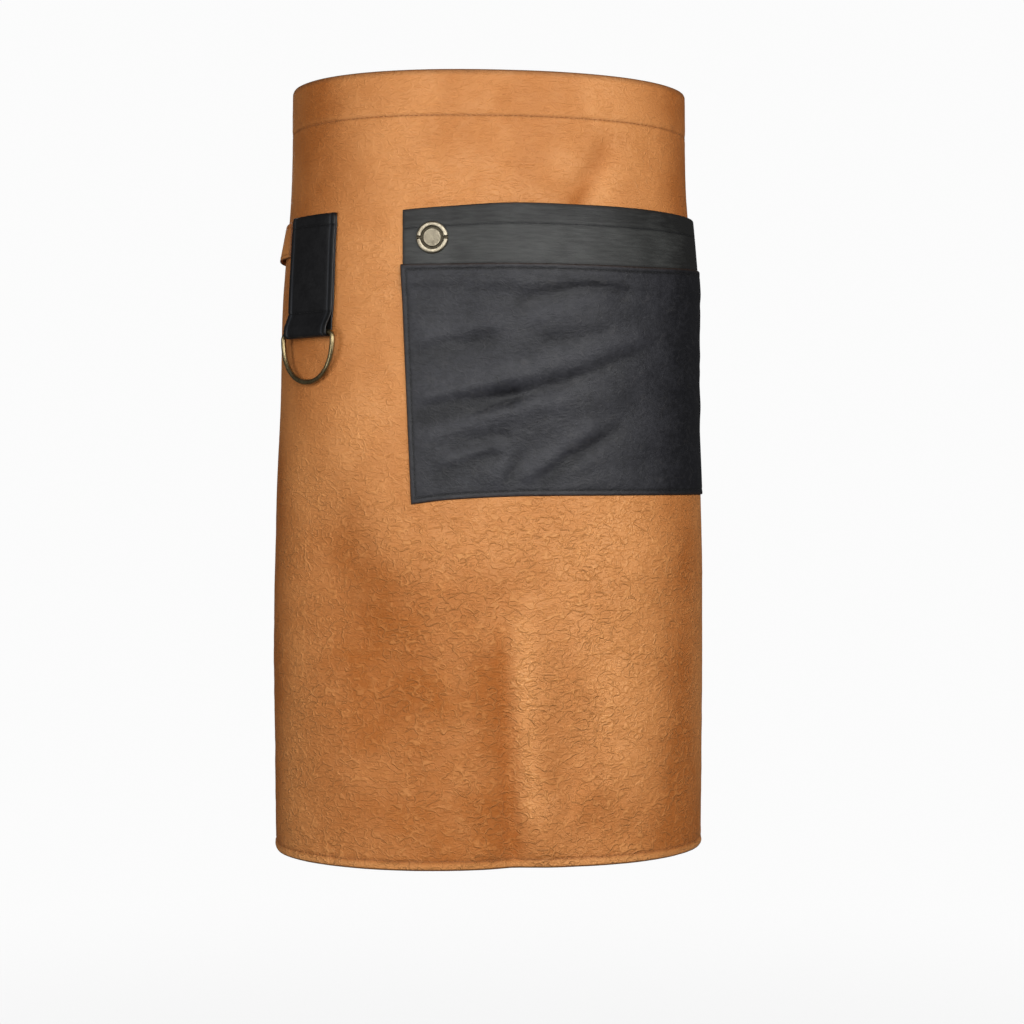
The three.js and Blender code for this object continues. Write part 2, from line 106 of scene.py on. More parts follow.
# Studs
STUD_RADIUS = 12.8
STUD_RIM = 1.5
STUD_DISC = 1.1
STUD_DISC_RADIUS = 7.3
STUD_GROOVE = 1.5
STUD_FOOT = 0.5
STUD_POST = 2.4
STUD_SLOT = 2
STUD_GAP = 0.5
STUD_ACROSS = POCKET_LEFT + BAND_INSET + 24
STUD_Z = MOUTH_Z - BAND_HEIGHT / 2 - 3
STRAP_STUD_RADIUS = 7
STRAP_STUD_CAP = 1.8
STRAP_STUD_POST = 2.1

SEAM_GAP = 0.35

# Stitches, and the groove that each seam pulls into the leather
STITCH_PITCH = 4.2
STITCH_LENGTH = 3.3
THREAD = 0.75
GROOVE_WIDTH = 1.1
RIM_STEPS = 3

# The body's outline from waist hem to bottom hem, as shares of the panel's length, HIP_WIDTH and
# HIP_DEPTH. The outline is a superellipse.
OUTLINE_POWER = 2.2
SECTIONS = [
    {"down": 0.0, "width": 0.913, "depth": 0.938},
    {"down": 0.13, "width": 0.921, "depth": 0.969},
    {"down": 0.27, "width": 0.959, "depth": 0.984},
    {"down": 0.41, "width": 0.973, "depth": 0.992},
    {"down": 0.54, "width": 0.991, "depth": 0.996},
    {"down": 0.68, "width": 0.999, "depth": 1.0},
    {"down": 0.84, "width": 0.996, "depth": 1.0},
    {"down": 1.0, "width": 0.989, "depth": 1.0},
]

# Folds pressed into the panel, each along a line. "across" and "spread" are shares of half the
# panel's width, "down" of its length, "sink" of FOLD_DEPTH.
PANEL_FOLDS = [
    {"fold": "between the legs", "across": (-0.03, 0.04), "down": (0.62, 1.0), "sink": (0.05, 0.56), "spread": 0.125},
    {"fold": "leg crease", "across": (-0.035, 0.009), "down": (0.72, 1.0), "sink": (0.04, 0.3), "spread": 0.042},
    {"fold": "left thigh hollow", "across": (-0.36, -0.3), "down": (0.6, 0.84), "sink": (0.26, 0.2), "spread": 0.11},
    {"fold": "left thigh ridge", "across": (-0.56, -0.56), "down": (0.66, 0.95), "sink": (-0.12, -0.16), "spread": 0.07},
    {"fold": "left hip dent", "across": (-0.44, -0.38), "down": (0.54, 0.58), "sink": (0.2, 0.12), "spread": 0.055},
    {"fold": "right waist crease", "across": (0.14, 0.31), "down": (0.165, 0.085), "sink": (0.15, 0.12), "spread": 0.036},
    {"fold": "right knee dent", "across": (0.2, 0.13), "down": (0.84, 0.9), "sink": (0.14, 0.1), "spread": 0.05},
]

# Creases in the pocket front. "along" and "spread" are shares of its width, "down" of its height,
# "sink" of CREASE_DEPTH.
POCKET_CREASES = [
    {"fold": "long crease", "along": (0.04, 0.66), "down": (0.58, 0.36), "sink": (1.0, 0.5), "spread": 0.038},
    {"fold": "upper crease", "along": (0.03, 0.3), "down": (0.33, 0.26), "sink": (0.6, 0.4), "spread": 0.035},
    {"fold": "roll under it", "along": (0.08, 0.64), "down": (0.72, 0.52), "sink": (-0.7, -0.5), "spread": 0.042},
    {"fold": "corner crease", "along": (0.32, 0.6), "down": (0.96, 0.7), "sink": (0.9, 0.6), "spread": 0.035},
]

# The pocket's cut edges along its width, as shares of the front's height: "rise" lifts the mouth,
# "lift" the seam, "dip" drops the bottom and "slant" moves it to the right.
POCKET_EDGES = [
    {"along": 0.0, "rise": -0.024, "lift": 0.0, "dip": 0.038, "slant": 0.044},
    {"along": 0.1, "rise": -0.012, "lift": 0.0, "dip": 0.018, "slant": 0.03},
    {"along": 0.3, "rise": 0.003, "lift": 0.0, "dip": 0.002, "slant": 0.01},
    {"along": 0.6, "rise": 0.002, "lift": 0.004, "dip": 0.0, "slant": 0.0},
    {"along": 0.85, "rise": 0.002, "lift": 0.026, "dip": 0.0, "slant": 0.0},
    {"along": 1.0, "rise": 0.002, "lift": 0.034, "dip": 0.0, "slant": 0.0},
]

# How far the pocket stands off the panel, along its width and down from its mouth, as a share of
# POCKET_BULGE.
BULGE_ALONG = [
    {"at": 0.0, "share": 0.0},
    {"at": 0.12, "share": 0.04},
    {"at": 0.27, "share": 1.0},
    {"at": 0.47, "share": 1.0},
    {"at": 0.68, "share": 0.55},
    {"at": 0.93, "share": 0.32},
    {"at": 1.0, "share": 0.0},
]
BULGE_DOWN = [
    {"at": 0.0, "share": 0.95},
    {"at": 0.2, "share": 1.0},
    {"at": 0.42, "share": 0.9},
    {"at": 0.62, "share": 0.5},
    {"at": 0.82, "share": 0.16},
    {"at": 1.0, "share": 0.0},
]

# The hanger from its top down: "width" is a share of HANGER_WIDTH, and "flat" is 0 where it
# follows the body and 1 where it lies flat, along the ring's bar.
HANGER_SHAPE = [
    {"down": 0.0, "width": 1.0, "flat": 0.2},
    {"down": 0.12, "width": 1.0, "flat": 0.25},
    {"down": 0.24, "width": 0.98, "flat": 0.35},
    {"down": 0.74, "width": 0.975, "flat": 0.75},
    {"down": 0.86, "width": 0.95, "flat": 1.0},
    {"down": 1.0, "width": 0.93, "flat": 1.0},
]

# Finer folds, which only the leather's surface shows. They are written as the folds above, with
# "sink" in millimetres.
FINE_PANEL_FOLDS = [
    {"fold": "leg crease's bed", "across": (-0.024, 0.006), "down": (0.66, 1.0), "sink": (2.6, 5.2), "spread": 0.013},
    {"fold": "roll left of it", "across": (-0.07, -0.048), "down": (0.72, 1.0), "sink": (-1.4, -2.6), "spread": 0.025},
    {"fold": "roll right of it", "across": (0.036, 0.07), "down": (0.68, 1.0), "sink": (-3.2, -5.0), "spread": 0.032},
    {"fold": "hem ridge", "across": (0.108, 0.176), "down": (0.972, 0.904), "sink": (-1.2, -0.9), "spread": 0.016},
    {"fold": "hem bed", "across": (0.09, 0.15), "down": (0.985, 0.9), "sink": (1.0, 0.8), "spread": 0.013},
    {"fold": "hem ridge by the crease", "across": (0.065, 0.105), "down": (0.98, 0.916), "sink": (-0.9, -0.8), "spread": 0.013},
    {"fold": "waist crease's bed", "across": (0.135, 0.224), "down": (0.16, 0.088), "sink": (3.2, 1.8), "spread": 0.016},
    {"fold": "roll right of it", "across": (0.19, 0.28), "down": (0.165, 0.095), "sink": (-2.2, -1.2), "spread": 0.026},
    {"fold": "small waist crease", "across": (0.275, 0.33), "down": (0.156, 0.12), "sink": (0.9, 0.6), "spread": 0.016},
    {"fold": "hollow by the left thigh", "across": (-0.38, -0.26), "down": (0.63, 0.77), "sink": (3.4, 1.8), "spread": 0.062},
    {"fold": "roll under it", "across": (-0.42, -0.3), "down": (0.8, 0.92), "sink": (-2.0, -1.6), "spread": 0.07},
    {"fold": "roll above it", "across": (-0.22, -0.1), "down": (0.6, 0.7), "sink": (-1.8, -1.4), "spread": 0.07},
    {"fold": "roll on the right thigh", "across": (0.25, 0.22), "down": (0.62, 0.8), "sink": (-2.0, -1.4), "spread": 0.09},
    {"fold": "crease by the right knee", "across": (0.2, 0.12), "down": (0.73, 0.9), "sink": (1.2, 1.0), "spread": 0.03},
]
# Painted light and shade on the panel's leather, written as the folds above, with "sink" as the share
# by which it is painted deeper: painted shade over hollows and creases, under the pocket, low on the
# right and towards the sides where the body turns from the light, and a little over the front's
# middle where the sheen peaks. A share below 0 is paler: painted light on flanks facing the light.
PAINTED_SHADING_PLACES = [
    {"fold": "left hip and thigh", "across": (-0.4, -0.24), "down": (0.6, 0.76), "sink": (0.5, 0.5), "spread": 0.09},
    {"fold": "left leg", "across": (-0.28, -0.18), "down": (0.76, 1.0), "sink": (0.6, 0.85), "spread": 0.19},
    {"fold": "right thigh", "across": (0.12, 0.18), "down": (0.82, 0.92), "sink": (0.12, 0.3), "spread": 0.06},
    {"fold": "right thigh's roll", "across": (0.22, 0.26), "down": (0.56, 0.8), "sink": (-0.15, 0.0), "spread": 0.07},
    {"fold": "right thigh's edge", "across": (0.44, 0.43), "down": (0.4, 0.95), "sink": (0.7, 1.0), "spread": 0.06},
    {"fold": "left of the leg crease", "across": (-0.055, -0.03), "down": (0.74, 1.0), "sink": (0.4, 0.35), "spread": 0.03},
    {"fold": "its bed", "across": (-0.024, 0.004), "down": (0.7, 1.0), "sink": (0.35, 0.5), "spread": 0.012},
    {"fold": "right of the leg crease", "across": (0.02, 0.045), "down": (0.7, 0.93), "sink": (-0.6, -0.5), "spread": 0.018},
    {"fold": "right hem", "across": (0.12, 0.5), "down": (1.02, 0.97), "sink": (0.35, 0.6), "spread": 0.1},
    {"fold": "left thigh's edge", "across": (-0.5, -0.5), "down": (0.58, 0.95), "sink": (-0.1, 0.0), "spread": 0.04},
    {"fold": "far left", "across": (-0.62, -0.62), "down": (0.5, 1.0), "sink": (1.0, 1.0), "spread": 0.05},
    {"fold": "waist, far left", "across": (-0.47, -0.52), "down": (0.0, 0.36), "sink": (1.0, 0.7), "spread": 0.085},
    {"fold": "waist, far right", "across": (0.46, 0.48), "down": (0.0, 0.2), "sink": (1.1, 1.0), "spread": 0.075},
    {"fold": "waist crease", "across": (0.14, 0.21), "down": (0.165, 0.1), "sink": (0.7, 0.4), "spread": 0.014},
    {"fold": "roll right of it", "across": (0.19, 0.27), "down": (0.17, 0.11), "sink": (-0.3, -0.2), "spread": 0.02},
    {"fold": "front's middle", "across": (-0.03, 0.03), "down": (0.05, 0.2), "sink": (0.3, 0.25), "spread": 0.14},
    {"fold": "under the pocket", "across": (-0.15, 0.06), "down": (0.62, 0.7), "sink": (0.12, 0.15), "spread": 0.12},
]
FRONT_WRINKLES = [
    {"fold": "long crease, left", "along": (0.05, 0.26), "down": (0.635, 0.57), "sink": (3.6, 3.6), "spread": 0.017},
    {"fold": "long crease, middle", "along": (0.285, 0.41), "down": (0.56, 0.505), "sink": (2.2, 1.2), "spread": 0.014},
    {"fold": "long crease, right", "along": (0.43, 0.61), "down": (0.49, 0.375), "sink": (1.2, 0.7), "spread": 0.012},
    {"fold": "roll over it, left", "along": (0.05, 0.26), "down": (0.56, 0.49), "sink": (-2.2, -2.8), "spread": 0.022},
    {"fold": "roll over it, right", "along": (0.3, 0.6), "down": (0.48, 0.32), "sink": (-1.8, -1.0), "spread": 0.019},
    {"fold": "roll under it, left", "along": (0.06, 0.4), "down": (0.72, 0.59), "sink": (-1.2, -1.2), "spread": 0.018},
    {"fold": "upper left crease", "along": (0.05, 0.21), "down": (0.375, 0.325), "sink": (1.6, 1.8), "spread": 0.018},
    {"fold": "roll over it", "along": (0.05, 0.22), "down": (0.31, 0.26), "sink": (-1.4, -1.2), "spread": 0.022},
    {"fold": "upper right crease", "along": (0.3, 0.46), "down": (0.165, 0.085), "sink": (1.8, 1.6), "spread": 0.016},
    {"fold": "its far end", "along": (0.49, 0.56), "down": (0.085, 0.11), "sink": (1.5, 1.1), "spread": 0.015},
    {"fold": "roll under it", "along": (0.32, 0.5), "down": (0.235, 0.15), "sink": (-1.2, -0.9), "spread": 0.02},
    {"fold": "middle crease", "along": (0.36, 0.5), "down": (0.33, 0.29), "sink": (1.0, 0.8), "spread": 0.013},
    {"fold": "low left crease", "along": (0.128, 0.246), "down": (0.775, 0.745), "sink": (1.8, 1.8), "spread": 0.014},
    {"fold": "lower left crease", "along": (0.083, 0.216), "down": (0.9, 0.82), "sink": (1.8, 1.8), "spread": 0.014},
    {"fold": "roll between them", "along": (0.1, 0.23), "down": (0.84, 0.775), "sink": (-1.5, -1.4), "spread": 0.016},
    {"fold": "bottom crease", "along": (0.27, 0.287), "down": (0.93, 0.85), "sink": (1.8, 1.3), "spread": 0.012},
    {"fold": "roll left of it", "along": (0.225, 0.25), "down": (0.94, 0.86), "sink": (-1.2, -1.0), "spread": 0.015},
    {"fold": "slanting crease, low", "along": (0.355, 0.41), "down": (0.94, 0.855), "sink": (2.2, 2.0), "spread": 0.014},
    {"fold": "slanting crease, high", "along": (0.43, 0.549), "down": (0.835, 0.715), "sink": (2.0, 1.3), "spread": 0.014},
    {"fold": "roll left of it", "along": (0.31, 0.47), "down": (0.9, 0.72), "sink": (-1.7, -1.5), "spread": 0.018},
]


def smoothstep(value, low, high):
    """0 at low and before it, 1 at high and past it, and smooth between. Low may be above high."""
    t = np.clip((value - low) / (high - low), 0, 1)
    return t * t * (3 - 2 * t)


def read(table, at, place, value):
    """A smooth curve through a table's rows, which doesn't overshoot, read at places of a column."""
    xs = np.array([row[at] for row in table], float)
    ys = np.array([row[value] for row in table], float)
    place = np.clip(np.asarray(place, float), xs[0], xs[-1])
    i = np.clip(np.searchsorted(xs, place) - 1, 0, len(xs) - 2)
    span, rise = xs[i + 1] - xs[i], ys[i + 1] - ys[i]

    def slope(k):
        a, b = np.maximum(k - 1, 0), np.minimum(k + 1, len(xs) - 1)
        mean = (ys[b] - ys[a]) / (xs[b] - xs[a])
        return np.sign(rise) * np.clip(mean * np.sign(rise), 0, 3 * np.abs(rise) / span)

    s = (place - xs[i]) / span
    m0, m1 = slope(i) * span, slope(i + 1) * span
    return ys[i] + s * m0 + s**2 * (3 * rise - 2 * m0 - m1) + s**3 * (m0 + m1 - 2 * rise)


def outline(z):
    """The body's outline at one height, once round from the front's middle: x, y and length."""
    down = (TOP_Z - z) / PANEL_LENGTH
    half_width = read(SECTIONS, "down", down, "width") * HIP_WIDTH / 2
    half_depth = read(SECTIONS, "down", down, "depth") * HIP_DEPTH / 2
    turn = np.linspace(0, 2 * np.pi, 2881)
    s, c, power = np.sin(turn), np.cos(turn), 2 / OUTLINE_POWER
    x = half_width * np.sign(s) * np.abs(s) ** power
    y = -half_depth * np.sign(c) * np.abs(c) ** power
    return x, y, np.concatenate([[0], np.cumsum(np.hypot(np.diff(x), np.diff(y)))])


BACK_MIDDLE = outline(0)[2][-1] / 2
ACROSS_STEP = 0.5
HEIGHT_STEP = 4
BODY_REACH = 520
CHORD = 4


def body_grid():
    """x, y and the level direction outwards, over a fine grid of heights and distances across."""
    heights = np.arange(BOTTOM_Z - 3 * HEIGHT_STEP, TOP_Z + 3 * HEIGHT_STEP, HEIGHT_STEP)
    across = np.arange(-BODY_REACH, BODY_REACH + ACROSS_STEP, ACROSS_STEP)
    rows = []
    for z in heights:
        x, y, length = outline(z)

        def at(place):
            return np.array([np.interp(place % length[-1], length, v) for v in (x, y)])

        along = at(across + CHORD) - at(across - CHORD)
        along /= np.hypot(*along)
        rows.append(np.stack([*at(across), along[1], -along[0]], axis=-1))
    return heights, np.stack(rows)


HEIGHTS, BODY = body_grid()


def on_body(across, z):
    """x, y and the direction outwards at places on the body, between the grid's own."""
    across, z = np.broadcast_arrays(np.asarray(across, float), np.asarray(z, float))
    a = np.clip((across + BODY_REACH) / ACROSS_STEP, 0, BODY.shape[1] - 1.001)
    h = np.clip((z - HEIGHTS[0]) / HEIGHT_STEP, 0, BODY.shape[0] - 1.001)
    i, j = a.astype(int), h.astype(int)
    s, t = (a - i)[..., None], (h - j)[..., None]
    low = BODY[j, i] * (1 - s) + BODY[j, i + 1] * s
    high = BODY[j + 1, i] * (1 - s) + BODY[j + 1, i + 1] * s
    return low * (1 - t) + high * t


def sunk(folds, column, width, length, depth, right, down):
    """How far folds sink the leather at places: each fades to its sides and past its ends."""
    total = np.zeros(np.broadcast(right, down).shape)
    for f in folds:
        x0, x1 = (share * width for share in f[column])
        y0, y1 = (share * length for share in f["down"])
        dx, dy = x1 - x0, y1 - y0
        s = np.clip(((right - x0) * dx + (down - y0) * dy) / (dx * dx + dy * dy), 0, 1)
        away = np.hypot(right - x0 - s * dx, down - y0 - s * dy)
        sink = f["sink"][0] + (f["sink"][1] - f["sink"][0]) * s
        total += depth * sink * np.exp(-(away**2) / (2 * (f["spread"] * width) ** 2))
    return total


def panel_sink(across, z):
    return sunk(PANEL_FOLDS, "across", PANEL_WIDTH / 2, PANEL_LENGTH, FOLD_DEPTH, across, TOP_Z - z)


def wrap(across, z, out):
    """Places on the apron, with the panel's folds."""
    across, z, out = np.broadcast_arrays(*(np.asarray(v, float) for v in (across, z, out)))
    body = on_body(across, z)
    lift = out - panel_sink(across, z)
    x, y = body[..., 0] + body[..., 2] * lift, body[..., 1] + body[..., 3] * lift
    return np.stack([x, y, z], axis=-1)


def outwards(across, z):
    """The level direction outwards at places on the apron, as unit vectors."""
    body = on_body(across, z)
    return np.stack([body[..., 2], body[..., 3], 0 * body[..., 2]], axis=-1)


def seat(across, z, out):
    """Where a hard piece sits: a matrix whose X runs along the leather, Y up and Z out."""
    away = Vector(outwards(across, z))
    up = Vector((0, 0, 1))
    turn = Matrix((up.cross(away), up, away)).transposed()
    return Matrix.Translation(Vector(wrap(across, z, out))) @ turn.to_4x4()


def noisy(across, z, size, seed, stretch=1.0):
    """Smooth noise over the flat leather. Its lumps are about size wide, or longer across."""
    across, z = np.broadcast_arrays(np.asarray(across, float), np.asarray(z, float))
    flat = zip((across / (size * stretch)).ravel(), (z / size).ravel())
    return np.reshape([noise.noise((x, y, seed)) for x, y in flat], across.shape)


def graded(low, high, step, seams=(), close=(0.8, 2.0)):
    """Places from low to high, no further apart than a step, with closer ones beside seams."""
    beside = [s + side * d for s in seams for d in (0, *close) for side in (-1, 1)]
    fine = [p for p in beside if low < p < high]
    plain = np.linspace(low, high, math.ceil((high - low) / step) + 1)
    kept = [p for p in plain[1:-1] if all(abs(p - f) > step / 3 for f in fine)]
    return np.unique(np.round([low, high, *fine, *kept], 4))


def groove(distance, depth=0.4, width=GROOVE_WIDTH):
    """How deep a seam pulls the leather in, by the distance from it."""
    return depth * np.exp(-((distance / width) ** 2))


# Meshes
class Shape:
    """Points, faces and what goes with each of them, on the way to a mesh."""

    def __init__(self, points, faces, flat, inner=None, **values):
        self.points = np.asarray(points, float).reshape(-1, 3)
        self.faces = faces
        self.flat = np.asarray(flat, float).reshape(-1, 2)
        self.inner = np.zeros(len(faces), int) if inner is None else inner
        self.values = values


def sheet(outer, inner, flat, **values):
    """A closed sheet between two faces of one lattice, with a rounded edge all round. Rows go up
    and columns to the right, seen from outside."""
    nr, nc = outer.shape[:2]
    at = np.arange(nr * nc).reshape(nr, nc)
    low, high, left, right = (at[0, :], at[-1, ::-1], at[-2:0:-1, 0], at[1:-1, -1])
    loop = np.concatenate([low, right, high, left])
    r, c = loop // nc, loop % nc
    edge_out, edge_in = outer[r, c], inner[r, c]
    away = edge_out - outer[np.clip(r, 1, nr - 2), np.clip(c, 1, nc - 2)]
    away /= np.linalg.norm(away, axis=-1, keepdims=True)
    middle = (edge_out + edge_in) / 2
    half = np.linalg.norm(edge_out - edge_in, axis=-1, keepdims=True) / 2
    points, places, rings = [outer.reshape(-1, 3), inner.reshape(-1, 3)], [flat, flat], [loop]
    whole = {name: [value.ravel(), value.ravel()] for name, value in values.items()}
    beside_rim = np.zeros(nr * nc)
    beside_rim[loop] = 0.6
    edge = [beside_rim, beside_rim]
    for k in range(1, RIM_STEPS + 1):
        angle = math.pi * k / (RIM_STEPS + 1)
        points.append(middle + (edge_out - middle) * math.cos(angle) + away * half * math.sin(angle))
        places.append(flat[r, c])
        rings.append(2 * nr * nc + (k - 1) * len(loop) + np.arange(len(loop)))
        edge.append(np.ones(len(loop)))
        for name, value in values.items():
            whole[name].append(value[r, c])
    rings.append(nr * nc + loop)
    a, b, c2, d = at[:-1, :-1], at[:-1, 1:], at[1:, 1:], at[1:, :-1]
    front = np.stack([a, b, c2, d], axis=-1).reshape(-1, 4)
    back = nr * nc + np.stack([a, d, c2, b], axis=-1).reshape(-1, 4)
    rim = [
        np.stack([one, two, np.roll(two, -1), np.roll(one, -1)], axis=-1)
        for one, two in zip(rings, rings[1:])
    ]
    faces = np.concatenate([front, back, *rim])
    inner_flag = np.zeros(len(faces), int)
    inner_flag[len(front):len(front) + len(back)] = 1
    joined = {name: np.concatenate(value) for name, value in whole.items()}
    flat_all = np.concatenate([np.reshape(p, (-1, 2)) for p in places])
    return Shape(np.concatenate(points), faces.tolist(), flat_all, inner_flag, edge=np.concatenate(edge), **joined)


def turned(profile, sides):
    """A solid of revolution about Z. Its profile of (radius, height) goes up from axis to axis."""
    ring = profile[1:-1]
    turn = np.arange(sides) * 2 * np.pi / sides
    points = [(0, 0, profile[0][1])]
    points += [(r * np.cos(a), r * np.sin(a), h) for r, h in ring for a in turn]
    points += [(0, 0, profile[-1][1])]
    faces = []
    for k in range(sides):
        n = (k + 1) % sides
        faces.append((0, 1 + n, 1 + k))
        for j in range(len(ring) - 1):
            low, high = 1 + j * sides, 1 + (j + 1) * sides
            faces.append((low + k, low + n, high + n, high + k))
        last = 1 + (len(ring) - 1) * sides
        faces.append((last + k, last + n, len(points) - 1))
    points = np.array(points)
    return Shape(points, faces, points[:, :2])


def placed(shape, matrix):
    turn, move = np.array(matrix.to_3x3()), np.array(matrix.translation)
    shape.points = shape.points @ turn.T + move
    return shape


def make_piece(name, shape, materials, body="apron", node=None, sharp=None):
    """One object in metres, with its place in its mesh, riding on a body."""
    mesh = bpy.data.meshes.new(name)
    mesh.from_pydata((shape.points * MM).tolist(), [], shape.faces)
    corner = np.zeros(len(mesh.loops), int)
    mesh.loops.foreach_get("vertex_index", corner)
    layer = mesh.uv_layers.new(name="flat")
    layer.data.foreach_set("uv", (shape.flat[corner] * MM).astype(np.float32).ravel())
    for label, value in shape.values.items():
        mesh.attributes.new(label, "FLOAT", "POINT").data.foreach_set("value", value.astype(np.float32))
    for material in materials:
        mesh.materials.append(material)
    mesh.polygons.foreach_set("material_index", np.minimum(shape.inner, len(materials) - 1).astype(np.int32))
    mesh.shade_smooth()
    if sharp:
        mesh.set_sharp_from_angle(angle=math.radians(sharp))
    obj = bpy.data.objects.new(name, mesh)
    bpy.context.scene.collection.objects.link(obj)
    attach(obj, body)
    if node:
        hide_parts(node)
    return obj


# Nodes and finishes
def add(tree, kind, inputs=None, **settings):
    """Adds one node, with its settings and with a value or a link at each named input."""
    made = tree.nodes.new(kind)
    for name, value in settings.items():
        setattr(made, name, value)
    for name, value in (inputs or {}).items():
        socket = made.inputs[name]
        if isinstance(value, bpy.types.NodeSocket):
            tree.links.new(value, socket)
        else:
            socket.default_value = value
    return made


def linear(hex_colour):
    """An sRGB hex colour as linear RGBA."""
    parts = [int(hex_colour[i:i + 2], 16) / 255 for i in (1, 3, 5)]
    return (*[p / 12.92 if p <= 0.04045 else ((p + 0.055) / 1.055) ** 2.4 for p in parts], 1)


def new_finish(name, **sockets):
    """A material with a Principled shader, whose own sockets hold what is the same all over."""
    material = bpy.data.materials.new(name)
    material.use_nodes = True
    shader = material.node_tree.nodes["Principled BSDF"]
    for socket, value in sockets.items():
        shader.inputs[socket.replace("_", " ")].default_value = value
    return material, material.node_tree, shader


def flat_mm(tree):
    """The place on the flat leather, in millimetres."""
    flat = add(tree, "ShaderNodeUVMap", uv_map="flat")
    return add(tree, "ShaderNodeVectorMath", {0: flat.outputs[0], "Scale": 1 / MM}, operation="SCALE").outputs[0]


def value_of(tree, name):
    return add(tree, "ShaderNodeAttribute", attribute_name=name).outputs["Fac"]


def spread(tree, value, low, high, to_low=0.0, to_high=1.0):
    """A value moved smoothly from one range to another, and kept in it."""
    given = {"Value": value, "From Min": low, "From Max": high, "To Min": to_low, "To Max": to_high}
    return add(tree, "ShaderNodeMapRange", given, interpolation_type="SMOOTHSTEP").outputs["Result"]


def math_of(tree, operation, one, two):
    return add(tree, "ShaderNodeMath", {0: one, 1: two}, operation=operation).outputs[0]


def lumps(tree, place, size, detail=2.0, kind="FBM"):
    """Noise with lumps of about a size in millimetres."""
    given = {"Vector": place, "Scale": 1 / size, "Detail": detail}
    return add(tree, "ShaderNodeTexNoise", given, noise_dimensions="2D", noise_type=kind).outputs["Fac"]


def tint(tree, share, below, above, blend="MIX"):
    """One colour or another by a share."""
    given = {"Factor": share, "A": below, "B": above}
    made = add(tree, "ShaderNodeMix", data_type="RGBA", blend_type=blend)
    for name, value in given.items():
        socket = next(s for s in made.inputs if s.name == name and s.enabled)
        if isinstance(value, bpy.types.NodeSocket):
            tree.links.new(value, socket)
        else:
            socket.default_value = value
    return next(s for s in made.outputs if s.enabled)


def raise_grain(tree, shader, height, depth):
    """Turns a height from 0 to 1 into relief of a depth in millimetres."""
    bump = add(tree, "ShaderNodeBump", {"Height": height, "Distance": depth * MM, "Strength": 1.0})
    tree.links.new(bump.outputs[0], shader.inputs["Normal"])


def wriggles(tree, place, size, half, move, stretch=1.0):
    """Short curved lines, 1 along their middles: the level lines of a noise, broken up by another.
    Size is the noise's in millimetres, and half is a line's half width as a share of its height."""
    moved = add(tree, "ShaderNodeMapping", {"Vector": place, "Location": (move, 2 * move, 0)})
    moved.inputs["Scale"].default_value = (1 / stretch, 1, 1)
    wave = lumps(tree, moved.outputs[0], size, 1.2)
    away = add(tree, "ShaderNodeMath", {0: math_of(tree, "SUBTRACT", wave, 0.5)}, operation="ABSOLUTE").outputs[0]
    elsewhere = add(tree, "ShaderNodeMapping", {"Vector": moved.outputs[0], "Location": (700, 0, 0)}).outputs[0]
    broken = spread(tree, lumps(tree, elsewhere, size * 0.8, 1.0), 0.34, 0.52)
    return math_of(tree, "MULTIPLY", spread(tree, away, half, 0.0), broken)


